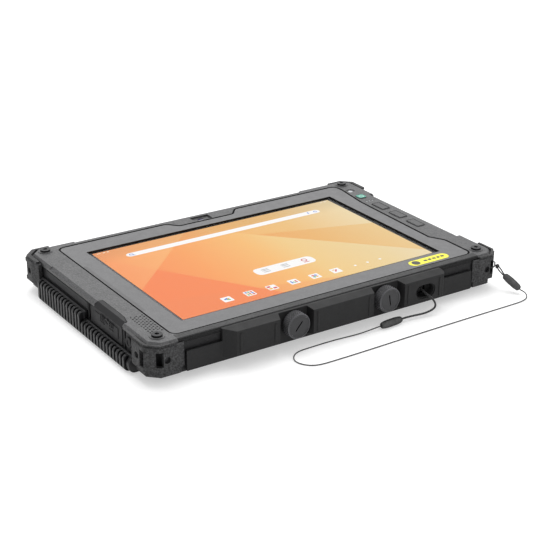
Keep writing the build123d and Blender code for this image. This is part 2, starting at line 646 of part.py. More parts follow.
with BuildPart() as upper_port_door:
    block(DOOR_OUT, DOOR_IN, UPPER_HINGE_Y, UPPER_DOOR_Y, UPPER_DOOR_BOTTOM, DOOR_TOP)
    fillet(upper_port_door.edges().filter_by(Axis.X).group_by(Axis.Y)[-1], 1.2)
    chamfer(upper_port_door.faces().sort_by(Axis.X)[0].edges().sort_by(Axis.Y)[-1], 0.4)
    hinge_barrel(UPPER_HINGE_Y, UPPER_DOOR_BOTTOM, DOOR_TOP)
    hinge_bore(UPPER_HINGE_Y, UPPER_DOOR_BOTTOM, DOOR_TOP)
upper_port_door.part.label = "upper_port_door"
export_step(upper_port_door.part, "parts/upper_port_door.step")

with BuildPart() as lower_port_door:
    block(DOOR_OUT, DOOR_IN, LOWER_DOOR_Y, LOWER_HINGE_Y, LOWER_DOOR_BOTTOM, DOOR_TOP)
    fillet(lower_port_door.edges().filter_by(Axis.X).group_by(Axis.Y)[0].sort_by(Axis.Z)[0], 1.2)
    block(DOOR_OUT, DOOR_IN, LOWER_DOOR_Y, -11.2, DOOR_TOP, PARTING + 0.5)
    with BuildSketch(Plane.XY.offset(PARTING + 0.1)):
        lip_outline()
    extrude(amount=LIP_TOP - PARTING - 0.1)
    # Sloping face of the lip
    with BuildSketch(Plane.XZ.offset(10.0)):
        Polygon((-119.0, 20.6), (-117.45, 20.9), (-115.0, LIP_TOP + 0.1), (-119.0, LIP_TOP + 0.1))
    extrude(amount=35.0, mode=Mode.SUBTRACT)
    # Raised panel on the door face
    block(DOOR_OUT - 0.4, DOOR_OUT, -38.5, -11.5, 12.4, 18.6)
    hinge_barrel(LOWER_HINGE_Y, LOWER_DOOR_BOTTOM, DOOR_TOP)
    hinge_bore(LOWER_HINGE_Y, LOWER_DOOR_BOTTOM, DOOR_TOP)
lower_port_door.part.label = "lower_port_door"
export_step(lower_port_door.part, "parts/lower_port_door.step")

with BuildPart() as hinge_pins:
    rod_z(8.6, 21.4, [(HINGE_X, UPPER_HINGE_Y), (HINGE_X, LOWER_HINGE_Y)], PIN_R)
hinge_pins.part.label = "hinge_pins"
export_step(hinge_pins.part, "parts/hinge_pins.step")

with BuildPart() as audio_plug:
    rod_x(-117.4, -115.5, AUDIO_Y, AUDIO_Z, 3.0)
    rod_x(-115.5, -108.0, AUDIO_Y, AUDIO_Z, 1.75)
    rod_x(-117.5, -117.0, AUDIO_Y, AUDIO_Z, 1.6, Mode.SUBTRACT)
audio_plug.part.label = "audio_plug"
export_step(audio_plug.part, "parts/audio_plug.step")

# ------------------------------------------------------------------ battery drawer
def thumb_holes(y0, y1, radius):
    """Holes for both thumbscrews, in the open part."""
    for side in (-1, 1):
        rod_y(y0, y1, side * THUMB_X, THUMB_Z, radius, Mode.SUBTRACT)


with BuildPart() as battery_bar:
    # Back slab behind the three grip blocks, and the lower plates beside them
    block(BAR_LEFT, BAR_RIGHT, PLATE_FRONT, BAR_BACK, BAR_BOTTOM, BAR_TOP)
    block(PLATE_LEFT, PLATE_RIGHT, PLATE_FRONT, BAR_BACK, PLATE_BOTTOM, PLATE_TOP)
    with BuildSketch(Plane.XY.offset(BAR_BOTTOM)):
        Polygon((BAR_LEFT, PLATE_FRONT), (-69.8, BAR_FRONT), (-42.6, BAR_FRONT), (-40.8, PLATE_FRONT))
        Polygon((-22.0, PLATE_FRONT), (-20.6, BAR_FRONT), (20.6, BAR_FRONT), (22.0, PLATE_FRONT))
        Polygon((40.8, PLATE_FRONT), (42.6, BAR_FRONT), (71.0, BAR_FRONT), (BAR_RIGHT, -80.5),
                (BAR_RIGHT, PLATE_FRONT))
    extrude(amount=BAR_TOP - BAR_BOTTOM)
    # Sloping top and chamfered underside of the blocks
    with BuildSketch(Plane.YZ.offset(BAR_LEFT - 1)):
        Polygon((BAR_FRONT - 1, 21.8), (PLATE_FRONT + 0.5, BAR_TOP + 0.05), (BAR_FRONT - 1, BAR_TOP + 1))
        Polygon((BAR_FRONT - 1, BAR_BOTTOM - 1), (-79.5, BAR_BOTTOM - 1), (-79.5, BAR_BOTTOM),
                (BAR_FRONT, BAR_BOTTOM + 1.2), (BAR_FRONT - 1, BAR_BOTTOM + 1.2))
    extrude(amount=BAR_RIGHT - BAR_LEFT + 2, mode=Mode.SUBTRACT)
    # Raised ridges near the block ends
    for x in (-67.4, -45.4, -17.6, 17.6, 45.4, 68.4):
        block(x - 0.6, x + 0.6, BAR_FRONT - 0.35, BAR_FRONT, 9.0, 20.4)
    # Oval stylus hole with a sunk rim, and the seat for the stylus sleeve
    with BuildSketch(Plane.XZ.offset(-BAR_FRONT)):
        with Locations((STYLUS_X, STYLUS_Z)):
            SlotOverall(14.2, 8.9)
    extrude(amount=-0.8, mode=Mode.SUBTRACT)
    with BuildSketch(Plane.XZ.offset(-BAR_FRONT)):
        with Locations((STYLUS_X, STYLUS_Z)):
            SlotOverall(12.8, 7.5)
    extrude(amount=BAR_FRONT - PLATE_FRONT - GAP, mode=Mode.SUBTRACT)
    rod_y(PLATE_FRONT, BAR_BACK, STYLUS_X, STYLUS_Z, SLEEVE_R, Mode.SUBTRACT)
    thumb_holes(PLATE_FRONT, BAR_BACK, SHOULDER_R + GAP)
battery_bar.part.label = "battery_bar"
export_step(battery_bar.part, "parts/battery_bar.step")


def thumbscrew(side):
    """Coin-slot thumbscrew: knurled knob, shoulder through the bar, and threaded shank."""
    x = side * THUMB_X
    with BuildPart() as part:
        rod_y(THUMB_FACE, PLATE_FRONT - GAP, x, THUMB_Z, THUMB_R)
        chamfer(part.faces().filter_by(Axis.Y).sort_by(Axis.Y)[0].edges(), 0.5)
        # Knurl: shallow grooves along the knob
        with BuildSketch(Plane.XZ.offset(-THUMB_FACE - 1)):
            with Locations((x, THUMB_Z)):
                with PolarLocations(THUMB_R + 0.1, 30):
                    Rectangle(0.7, 0.6, rotation=45)
        extrude(amount=-(PLATE_FRONT - THUMB_FACE - 0.4), mode=Mode.SUBTRACT)
        rod_y(PLATE_FRONT - GAP, BAR_BACK, x, THUMB_Z, SHOULDER_R)
        rod_y(BAR_BACK, THUMB_BOSS_END - 0.5, x, THUMB_Z, SHANK_R)
        # Coin slot
        with BuildSketch(Plane.XZ.offset(-THUMB_FACE)):
            with Locations((x, THUMB_Z)):
                Rectangle(0.9, 7.6, rotation=-55 if side < 0 else 12)
        extrude(amount=-0.9, mode=Mode.SUBTRACT)
    return part


CLIP_R = 3.0


def retaining_clip(side):
    """Ring that keeps a thumbscrew captive behind the bar."""
    x = side * THUMB_X
    with BuildPart() as part:
        rod_y(BAR_BACK + GAP, BAR_BACK + 0.8, x, THUMB_Z, CLIP_R)
        rod_y(BAR_BACK + GAP, BAR_BACK + 0.8, x, THUMB_Z, SHANK_R + 0.02, Mode.SUBTRACT)
    return part


thumbscrew_left = thumbscrew(-1)
thumbscrew_left.part.label = "thumbscrew_left"
export_step(thumbscrew_left.part, "parts/thumbscrew_left.step")

thumbscrew_right = thumbscrew(1)
thumbscrew_right.part.label = "thumbscrew_right"
export_step(thumbscrew_right.part, "parts/thumbscrew_right.step")

retaining_clip_left = retaining_clip(-1)
retaining_clip_left.part.label = "retaining_clip_left"
export_step(retaining_clip_left.part, "parts/retaining_clip_left.step")

retaining_clip_right = retaining_clip(1)
retaining_clip_right.part.label = "retaining_clip_right"
export_step(retaining_clip_right.part, "parts/retaining_clip_right.step")

TRAY_LEFT = DRAWER_LEFT + 1.0
TRAY_RIGHT = DRAWER_RIGHT - 1.0
TRAY_BOTTOM = COVER_TOP + 0.1
TRAY_FLOOR = 6.0

with BuildPart() as battery_tray:
    block(TRAY_LEFT, TRAY_RIGHT, BAR_BACK, DRAWER_BACK, TRAY_BOTTOM, TRAY_FLOOR)
    block(TRAY_LEFT, TRAY_RIGHT, BAR_BACK, BAR_BACK + 1.0, TRAY_BOTTOM, DRAWER_TOP - 0.2)
    for x in (TRAY_LEFT, TRAY_RIGHT - 1.0):
        block(x, x + 1.0, BAR_BACK, DRAWER_BACK, TRAY_BOTTOM, DRAWER_TOP - 3.0)
battery_tray.part.label = "battery_tray"
export_step(battery_tray.part, "parts/battery_tray.step")

with BuildPart() as battery_pack:
    block(TRAY_LEFT + 1.1, TRAY_RIGHT - 1.1, BAR_BACK + 1.1, DRAWER_BACK - 0.5, TRAY_FLOOR + GAP,
          DRAWER_TOP - 0.2)
    fillet(battery_pack.edges().filter_by(Axis.Y), 0.8)
    # Pockets for the contact blades of the battery connector
    for i in range(5):
        block(-18.6 + 3.6 * i, -17.4 + 3.6 * i, DRAWER_BACK - 4.0, DRAWER_BACK, 8.4, 11.0,
              mode=Mode.SUBTRACT)
battery_pack.part.label = "battery_pack"
export_step(battery_pack.part, "parts/battery_pack.step")

with BuildPart() as stylus_sleeve:
    rod_y(PLATE_FRONT, DRAWER_BACK, STYLUS_X, STYLUS_Z, SLEEVE_R)
    rod_y(PLATE_FRONT - 1, DRAWER_BACK - 1.0, STYLUS_X, STYLUS_Z, STYLUS_R + GAP, Mode.SUBTRACT)
stylus_sleeve.part.label = "stylus_sleeve"
export_step(stylus_sleeve.part, "parts/stylus_sleeve.step")

# ------------------------------------------------------------------ stylus
CONE_START = 8.0
NIB_R = 0.9

with BuildPart() as stylus_barrel:
    with BuildSketch(Plane.YZ.offset(STYLUS_X)):
        with Locations((0, STYLUS_Z)):
            Polygon((STYLUS_END, 0), (STYLUS_END, STYLUS_R - 0.4), (STYLUS_END + 0.6, STYLUS_R),
                    (CONE_START, STYLUS_R), (STYLUS_TIP - 3.0, NIB_R + 0.3), (STYLUS_TIP - 3.0, 0))
    revolve(axis=Axis((STYLUS_X, 0, STYLUS_Z), (0, 1, 0)))
    # Seat for the nib
    rod_y(STYLUS_TIP - 6.0, STYLUS_TIP - 3.0, STYLUS_X, STYLUS_Z, NIB_R, Mode.SUBTRACT)
stylus_barrel.part.label = "stylus_barrel"
export_step(stylus_barrel.part, "parts/stylus_barrel.step")

with BuildPart() as stylus_nib:
    rod_y(STYLUS_TIP - 6.0, STYLUS_TIP, STYLUS_X, STYLUS_Z, NIB_R)
    fillet(stylus_nib.edges().sort_by(Axis.Y)[-1], 0.7)
stylus_nib.part.label = "stylus_nib"
export_step(stylus_nib.part, "parts/stylus_nib.step")

# ------------------------------------------------------------------ keys, lights and sensor
def key(y, width, length, corner):
    """Key cap with a flange that keeps it under the frame."""
    with BuildPart() as part:
        with BuildSketch(Plane.XY.offset(FLANGE_BOTTOM)):
            with Locations((KEY_X, y)):
                Rectangle(width + 2 * KEY_FLANGE, length + 2 * KEY_FLANGE)
        extrude(amount=FLANGE_TOP - FLANGE_BOTTOM)
        with BuildSketch(Plane.XY.offset(FLANGE_TOP)):
            with Locations((KEY_X, y)):
                RectangleRounded(width, length, corner)
        extrude(amount=KEY_TOP - FLANGE_TOP)
        chamfer(part.faces().sort_by(Axis.Z)[-1].edges(), 0.25)
    return part


power_key = key(POWER_Y, POWER_W, POWER_L, 2.2)
power_key.part.label = "power_key"
export_step(power_key.part, "parts/power_key.step")

function_key_1 = key(KEY_YS[0], KEY_W, KEY_L, 1.0)
function_key_1.part.label = "function_key_1"
export_step(function_key_1.part, "parts/function_key_1.step")

function_key_2 = key(KEY_YS[1], KEY_W, KEY_L, 1.0)
function_key_2.part.label = "function_key_2"
export_step(function_key_2.part, "parts/function_key_2.step")

function_key_3 = key(KEY_YS[2], KEY_W, KEY_L, 1.0)
function_key_3.part.label = "function_key_3"
export_step(function_key_3.part, "parts/function_key_3.step")

with BuildPart() as switch_board:
    block(101.0, 110.8, -20.0, 60.0, MID_TOP, 19.2)
switch_board.part.label = "switch_board"
export_step(switch_board.part, "parts/switch_board.step")

with BuildPart() as key_switches:
    for y in [POWER_Y] + KEY_YS:
        block(KEY_X - 1.6, KEY_X + 1.6, y - 1.6, y + 1.6, 19.2, 19.8)
        rod_z(19.8, 20.05, [(KEY_X, y)], 0.9)
key_switches.part.label = "key_switches"
export_step(key_switches.part, "parts/key_switches.step")

with BuildPart() as status_lights:
    with BuildSketch(Plane.XY.offset(FRAME_TOP - 0.15)):
        with Locations(*LED_SPOTS):
            Rectangle(0.8, 1.9)
    extrude(amount=-(FRAME_TOP - 0.15 - 19.2))
status_lights.part.label = "status_lights"
export_step(status_lights.part, "parts/status_lights.step")

with BuildPart() as light_sensor_lens:
    rod_z(19.2, FRAME_TOP - 0.3, [SENSOR], 1.65)
    fillet(light_sensor_lens.edges().sort_by(Axis.Z)[-1], 0.3)
light_sensor_lens.part.label = "light_sensor_lens"
export_step(light_sensor_lens.part, "parts/light_sensor_lens.step")

# ------------------------------------------------------------------ cameras, speaker, antenna
with BuildPart() as front_camera_lens:
    rod_z(21.4, FRAME_TOP - 1.4, [FRONT_CAMERA], 2.15)
front_camera_lens.part.label = "front_camera_lens"
export_step(front_camera_lens.part, "parts/front_camera_lens.step")

with BuildPart() as front_camera:
    front_x, front_y = FRONT_CAMERA
    block(front_x - 3.5, front_x + 3.5, front_y - 3.5, front_y + 3.5, MID_TOP, 20.3)
    rod_z(20.3, 21.3, [FRONT_CAMERA], 2.0)
front_camera.part.label = "front_camera"
export_step(front_camera.part, "parts/front_camera.step")

with BuildPart() as rear_camera_lens:
    rod_z(CASE_BOTTOM + 0.1, CASE_BOTTOM + 1.1, [(CAMERA_X, CAMERA_Y)], LENS_R - GAP)
rear_camera_lens.part.label = "rear_camera_lens"
export_step(rear_camera_lens.part, "parts/rear_camera_lens.step")

with BuildPart() as rear_camera:
    block(CAMERA_X - 4.5, CAMERA_X + 4.5, CAMERA_Y - 4.5, CAMERA_Y + 4.5, COVER_TOP, BOARD_BOTTOM)
    rod_z(CASE_BOTTOM + 1.15, COVER_TOP, [(CAMERA_X, CAMERA_Y)], 3.0)
rear_camera.part.label = "rear_camera"
export_step(rear_camera.part, "parts/rear_camera.step")

with BuildPart() as camera_flash:
    rod_z(CASE_BOTTOM + 0.1, COVER_TOP, [(FLASH_X, CAMERA_Y)], FLASH_R - GAP)
    rod_z(COVER_TOP, BOARD_BOTTOM, [(FLASH_X, CAMERA_Y)], FLASH_R + 0.8)
camera_flash.part.label = "camera_flash"
export_step(camera_flash.part, "parts/camera_flash.step")

with BuildPart() as speaker:
    block(-111.0, -102.4, -61.5, -39.5, MID_TOP, 20.1)
    fillet(speaker.edges().filter_by(Axis.Z), 2.0)
speaker.part.label = "speaker"
export_step(speaker.part, "parts/speaker.step")

with BuildPart() as antenna:
    block(10.0, 70.0, 70.6, 71.9, 6.0, 16.0)
    block(20.0, 60.0, 70.4, 70.6, 9.0, 14.0)
antenna.part.label = "antenna"
export_step(antenna.part, "parts/antenna.step")

# ------------------------------------------------------------------ electronics
with BuildPart() as main_board:
    with BuildSketch(Plane.XY.offset(BOARD_BOTTOM)):
        with BuildLine():
            Polyline((-108.0, 60.0), (-98.0, 70.0), (98.0, 70.0), (98.0, 26.0), (-66.0, 26.0),
                     (-66.0, -60.0), (-108.0, -60.0), close=True)
        make_face()
        with Locations(*STANDOFFS):
            Circle(1.1, mode=Mode.SUBTRACT)
    extrude(amount=BOARD_TOP - BOARD_BOTTOM)
main_board.part.label = "main_board"
export_step(main_board.part, "parts/main_board.step")

with BuildPart() as board_screws:
    for x, y in STANDOFFS:
        add_screw(Plane((x, y, BOARD_BOTTOM), z_dir=(0, 0, -1)), 1.0, 5.0, 2.2, 1.2)
board_screws.part.label = "board_screws"
export_step(board_screws.part, "parts/board_screws.step")

with BuildPart() as processor_shield:
    block(-52.0, -16.0, 32.0, 62.0, BOARD_TOP, 13.0)
    fillet(processor_shield.edges().filter_by(Axis.Z), 1.5)
    with BuildSketch(Plane.XY.offset(13.0)):
        with Locations((-34.0, 47.0)):
            with GridLocations(6.0, 6.0, 5, 4):
                Circle(1.0)
    extrude(amount=-0.5, mode=Mode.SUBTRACT)
processor_shield.part.label = "processor_shield"
export_step(processor_shield.part, "parts/processor_shield.step")

with BuildPart() as card_reader:
    block(-INNER_X + GAP, -96.0, 7.5, 24.5, BOARD_TOP, MID_BOTTOM - GAP)
    block(-INNER_X - 1, -98.0, 9.5, 22.5, 15.6, 16.5, mode=Mode.SUBTRACT)
card_reader.part.label = "card_reader"
export_step(card_reader.part, "parts/card_reader.step")

with BuildPart() as usb_ports:
    block(-INNER_X + GAP, -99.0, -35.5, -9.5, BOARD_TOP, MID_BOTTOM - GAP)
    block(-INNER_X - 1, -101.0, -34.0, -20.8, 11.9, 15.8, mode=Mode.SUBTRACT)
    block(-INNER_X - 1, -103.0, -33.4, -21.4, 11.9, 15.8, mode=Mode.SUBTRACT)
    with BuildSketch(Plane.YZ.offset(-INNER_X)):
        with Locations((-14.0, 13.8)):
            SlotOverall(6.4, 2.4)
    extrude(amount=8.0, mode=Mode.SUBTRACT)
usb_ports.part.label = "usb_ports"
export_step(usb_ports.part, "parts/usb_ports.step")

with BuildPart() as audio_jack:
    block(-INNER_X + GAP, -98.0, -53.6, -46.4, BOARD_TOP, MID_BOTTOM - GAP)
    rod_x(-INNER_X, -101.0, AUDIO_Y, AUDIO_Z, 1.85, Mode.SUBTRACT)
audio_jack.part.label = "audio_jack"
export_step(audio_jack.part, "parts/audio_jack.step")

with BuildPart() as battery_connector:
    block(-21.0, -1.0, DRAWER_BACK + 0.3, 26.0, 7.4, 12.0)
    for i in range(5):
        block(-18.3 + 3.6 * i, -17.7 + 3.6 * i, DRAWER_BACK - 3.2, DRAWER_BACK + 0.3, 8.8, 10.6)
battery_connector.part.label = "battery_connector"
export_step(battery_connector.part, "parts/battery_connector.step")

# ------------------------------------------------------------------ tether
STYLUS_BEAD_NEAR = Vector(38.9, -84.4, BEAD_R + 0.05)  # end of the cord lock nearer the stylus
STYLUS_BEAD_FAR = Vector(23.6, -85.4, BEAD_R + 0.05)
POST_BEAD_TOP = Vector(119.6, -81.2, 9.4)
POST_BEAD_LOW = Vector(123.3, -91.4, 3.2)
LOOP_END = Vector(-39.4, -92.6, TABLE_Z)


def cord_lock(start, end):
    """Barrel-shaped cord lock between two points."""
    along = (end - start).normalized()
    across = along.cross(Vector(0, 0, 1)).normalized()
    length = (end - start).length
    end_r = 0.62 * BEAD_R
    with BuildPart() as part:
        with BuildSketch(Plane(origin=start, x_dir=across, z_dir=across.cross(along))) as half:
            with BuildLine():
                Polyline((0, length), (0, 0), (end_r, 0))
                ThreePointArc((end_r, 0), (BEAD_R, length / 2), (end_r, length))
                Line((end_r, length), (0, length))
            make_face()
        revolve(half.sketch, axis=Axis(start, along))
    return part


def cord(points, radius, leave, arrive):
    """Round cord along a smooth curve, with its unit direction of travel given at both ends."""
    with BuildPart() as part:
        with BuildLine() as path:
            Spline(*points, tangents=(leave, arrive), tangent_scalars=(1.0, 1.0))
        with BuildSketch(Plane(origin=path.line @ 0, z_dir=path.line % 0)):
            Circle(radius)
        sweep()
    return part


TOWARDS_FAR = (STYLUS_BEAD_FAR - STYLUS_BEAD_NEAR).normalized()
TOWARDS_POST = (POST_BEAD_TOP - POST_BEAD_LOW).normalized()
TOWARDS_FRONT = Vector(0, -1, 0)

stylus_cord_lock = cord_lock(STYLUS_BEAD_NEAR, STYLUS_BEAD_FAR)
stylus_cord_lock.part.label = "stylus_cord_lock"
export_step(stylus_cord_lock.part, "parts/stylus_cord_lock.step")

post_cord_lock = cord_lock(POST_BEAD_TOP, POST_BEAD_LOW)
post_cord_lock.part.label = "post_cord_lock"
export_step(post_cord_lock.part, "parts/post_cord_lock.step")

# Thicker cord from the stylus out of the oval hole to the first cord lock
stylus_cord = cord(
    [
        (STYLUS_X, STYLUS_END, STYLUS_Z), (58.4, -81.0, 12.8), (61.6, -85.8, 8.3), (62.2, -86.2, 5.2),
        (58.6, -86.0, 3.1), (49.0, -85.0, 2.4), STYLUS_BEAD_NEAR,
    ],
    THICK_CORD_R, TOWARDS_FRONT, TOWARDS_FAR,
)
stylus_cord.part.label = "stylus_cord"
export_step(stylus_cord.part, "parts/stylus_cord.step")

# Thin cord lying beside the tablet: away from the stylus, and back to the lanyard post
stylus_tether = cord(
    [
        STYLUS_BEAD_FAR, (11.0, -84.4, 1.0), (-5.0, -82.8, TABLE_Z), (-24.0, -82.8, TABLE_Z),
        (-34.6, -84.9, TABLE_Z), LOOP_END,
    ],
    CORD_R, TOWARDS_FAR, TOWARDS_FRONT,
)
stylus_tether.part.label = "stylus_tether"
export_step(stylus_tether.part, "parts/stylus_tether.step")

return_tether = cord(
    [
        LOOP_END, (-35.0, -100.4, TABLE_Z), (-24.4, -102.6, TABLE_Z), (1.2, -102.3, TABLE_Z),
        (34.7, -101.8, TABLE_Z), (71.9, -101.4, TABLE_Z), (110.0, -101.2, TABLE_Z),
        (118.6, -100.4, TABLE_Z + 0.05), (123.6, -97.5, TABLE_Z + 0.5),
        (124.6, -94.5, TABLE_Z + 1.4), POST_BEAD_LOW,
    ],
    CORD_R, TOWARDS_FRONT, TOWARDS_POST,
)
return_tether.part.label = "return_tether"
export_step(return_tether.part, "parts/return_tether.step")

# Flat loop round the lanyard post, with two strands down to the cord lock
LOOP_R = 0.45
LOOP_Z = 14.0
POST = Plane(origin=(116.42, -72.62, LOOP_Z - LOOP_R), x_dir=(1, 1, 0), z_dir=(0, 0, 1))

with BuildPart() as post_loop:
    with BuildSketch(POST):
        RectangleRounded(10.2, 5.4, 2.4)
        RectangleRounded(8.4, 3.6, 1.5, mode=Mode.SUBTRACT)
    extrude(amount=2 * LOOP_R)
    for shift in (-0.6, 0.6):
        start = Vector(118.2 + shift, -74.5 + shift, LOOP_Z)
        end = POST_BEAD_TOP + Vector(shift, 0, 0)
        with BuildSketch(Plane(origin=start, z_dir=end - start)):
            Circle(LOOP_R)
        extrude(amount=(end - start).length - 0.4)
post_loop.part.label = "post_loop"
export_step(post_loop.part, "parts/post_loop.step")
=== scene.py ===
import json
import math

import bpy
import numpy as np
from mathutils import Matrix, Vector


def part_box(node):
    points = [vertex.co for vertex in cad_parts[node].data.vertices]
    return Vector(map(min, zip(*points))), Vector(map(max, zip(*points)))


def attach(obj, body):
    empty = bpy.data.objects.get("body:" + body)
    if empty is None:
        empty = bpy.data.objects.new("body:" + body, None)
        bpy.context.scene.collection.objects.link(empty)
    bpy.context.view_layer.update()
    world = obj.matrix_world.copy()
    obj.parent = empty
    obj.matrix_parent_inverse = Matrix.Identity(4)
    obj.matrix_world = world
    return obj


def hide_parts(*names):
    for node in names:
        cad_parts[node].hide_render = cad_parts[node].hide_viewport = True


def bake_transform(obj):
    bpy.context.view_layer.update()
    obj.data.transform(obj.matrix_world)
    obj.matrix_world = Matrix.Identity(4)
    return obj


# Rugged data collector: a tablet with its screen on, lying on a pale studio floor.
# Lengths are millimetres in the CAD frame, and MM turns them into Blender's metres. Only the
# studio, at the end, is written in metres. Angles are degrees.

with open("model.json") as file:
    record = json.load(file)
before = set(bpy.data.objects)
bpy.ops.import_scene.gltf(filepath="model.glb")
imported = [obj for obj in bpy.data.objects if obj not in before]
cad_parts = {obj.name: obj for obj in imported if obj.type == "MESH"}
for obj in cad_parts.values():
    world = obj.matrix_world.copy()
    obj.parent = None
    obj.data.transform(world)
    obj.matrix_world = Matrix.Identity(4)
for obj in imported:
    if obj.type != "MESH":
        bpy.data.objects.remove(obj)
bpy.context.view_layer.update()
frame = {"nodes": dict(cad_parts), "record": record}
NODES = frame["nodes"]
MM = 0.001
NEARLY_ZERO = 1e-3  # length of a cross product below which two directions count as parallel
WELD_GAP = 0.002
BEVEL_ANGLE = 32.0
STRAND_GROOVE = 0.14  # depth of the groove between two strands, as a share of the cord's radius


# ------------------------------------------------------------------ mesh helpers
def to_object(name, verts, faces, material, body, smooth=True):
    """A mesh object from millimetre points, riding on a CAD body."""
    mesh = bpy.data.meshes.new(name)
    mesh.from_pydata([tuple(c * MM for c in v) for v in verts], [], faces)
    mesh.validate()
    for polygon in mesh.polygons:
        polygon.use_smooth = smooth
    obj = bpy.data.objects.new(name, mesh)
    bpy.context.scene.collection.objects.link(obj)
    mesh.materials.append(material)
    if body:
        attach(obj, body)
    return obj


def cut_away(obj, cutter):
    """Cut the cutter's shape out of the object, and remove the cutter."""
    cut = obj.modifiers.new("cut", "BOOLEAN")
    cut.operation = "DIFFERENCE"
    cut.solver = "EXACT"
    cut.object = cutter
    graph = bpy.context.evaluated_depsgraph_get()
    mesh = bpy.data.meshes.new_from_object(obj.evaluated_get(graph))
    obj.modifiers.clear()
    obj.data = mesh
    bpy.data.objects.remove(cutter)


def soften(obj, width):
    """Round the sharp edges of an object with modifiers, which leave its own mesh as it is."""
    weld = obj.modifiers.new("weld", "WELD")
    weld.merge_threshold = WELD_GAP * MM
    bevel = obj.modifiers.new("edges", "BEVEL")
    bevel.width = width * MM
    bevel.segments = 2
    bevel.limit_method = "ANGLE"
    bevel.angle_limit = math.radians(BEVEL_ANGLE)
    bevel.harden_normals = True
    bevel.use_clamp_overlap = True


def rounded_rectangle(cx, cy, width, height, radius, steps=5):
    """Counterclockwise outline points of a rounded rectangle."""
    points = []
    for quadrant, (sx, sy) in enumerate([(1, 1), (-1, 1), (-1, -1), (1, -1)]):
        px = cx + sx * (width / 2 - radius)
        py = cy + sy * (height / 2 - radius)
        for i in range(steps + 1):
            turn = math.pi / 2 * (quadrant + i / steps)
            points.append((px + radius * math.cos(turn), py + radius * math.sin(turn)))
    return points


def reliefs(name, outlines, origin, u, v, height, material, body):
    """Flat plates of one height on the plane through origin along u and v, one per outline."""
    origin, u, v = (np.array(item, float) for item in (origin, u, v))
    rise = np.cross(u, v) * height
    verts = []
    faces = []
    for outline in outlines:
        start = len(verts)
        count = len(outline)
        foot = [origin + u * a + v * b for a, b in outline]
        verts += foot + [point + rise for point in foot]
        faces += [(start + i, start + (i + 1) % count, start + count + (i + 1) % count,
                   start + count + i) for i in range(count)]
        faces.append(tuple(range(start + count, start + 2 * count)))
        faces.append(tuple(reversed(range(start, start + count))))
    return to_object(name, verts, faces, material, body, smooth=False)


def plates(name, outlines, z0, height, material, body):
    """Plates lying on the level z0."""
    return reliefs(name, outlines, (0, 0, z0), (1, 0, 0), (0, 1, 0), height, material, body)


def disc(cx, cy, radius, steps=24):
    """Outline of a round plate."""
    return [(cx + radius * math.cos(2 * math.pi * i / steps),
             cy + radius * math.sin(2 * math.pi * i / steps)) for i in range(steps)]


def bar(cx, cy, length, width, turn=0.0):
    """Outline of a narrow bar turned by some degrees."""
    c, s = math.cos(math.radians(turn)), math.sin(math.radians(turn))
    corners = [(-length / 2, -width / 2), (length / 2, -width / 2), (length / 2, width / 2),
               (-length / 2, width / 2)]
    return [(cx + c * x - s * y, cy + s * x + c * y) for x, y in corners]


def arc_band(cx, cy, radius, width, start, end, steps=20):
    """Outline of a bent band between two angles."""
    turns = [math.radians(start + (end - start) * i / steps) for i in range(steps + 1)]
    outer = [(cx + (radius + width / 2) * math.cos(t), cy + (radius + width / 2) * math.sin(t))
             for t in turns]
    inner = [(cx + (radius - width / 2) * math.cos(t), cy + (radius - width / 2) * math.sin(t))
             for t in reversed(turns)]
    return outer + inner


def box_mm(node):
    """(lowest corner, highest corner) of a CAD node in millimetres."""
    low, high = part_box(node)
    return low / MM, high / MM


def frame_along(points):
    """Turn-free side vectors along a polyline, by parallel transport."""
    tangents = np.gradient(points, axis=0)
    tangents /= np.linalg.norm(tangents, axis=1)[:, None]
    side = np.cross(tangents[0], (0.0, 0.0, 1.0))
    if np.linalg.norm(side) < NEARLY_ZERO:
        side = np.cross(tangents[0], (0.0, 1.0, 0.0))
    sides = []
    for tangent in tangents:
        side = side - tangent * (side @ tangent)
        side = side / np.linalg.norm(side)
        sides.append(side)
    sides = np.array(sides)
    return sides, np.cross(tangents, sides)


def smooth_path(points, leave, arrive, step):
    """Points about step apart on the cubic spline through the points, leaving and arriving along
    the two given directions."""
    points = np.array(points, float)
    spans = np.linalg.norm(np.diff(points, axis=0), axis=1)
    count = len(points)
    matrix = np.eye(count)
    right = np.zeros((count, 3))
    right[0] = np.array(leave, float) / np.linalg.norm(leave)
    right[-1] = np.array(arrive, float) / np.linalg.norm(arrive)
    for i in range(1, count - 1):
        before, after = spans[i - 1], spans[i]
        matrix[i, i - 1: i + 2] = after, 2 * (before + after), before
        slope_before = (points[i] - points[i - 1]) / before
        slope_after = (points[i + 1] - points[i]) / after
        right[i] = 3 * (after * slope_before + before * slope_after)
    slopes = np.linalg.solve(matrix, right)
    path = []
    for i, span in enumerate(spans):
        pieces = max(2, int(round(span / step)))
        t = np.linspace(0, 1, pieces, endpoint=False)[:, None]
        path.append(
            (2 * t**3 - 3 * t**2 + 1) * points[i] + (t**3 - 2 * t**2 + t) * span * slopes[i]
            + (3 * t**2 - 2 * t**3) * points[i + 1] + (t**3 - t**2) * span * slopes[i + 1]
        )
    path.append(points[-1:])
    return np.concatenate(path)


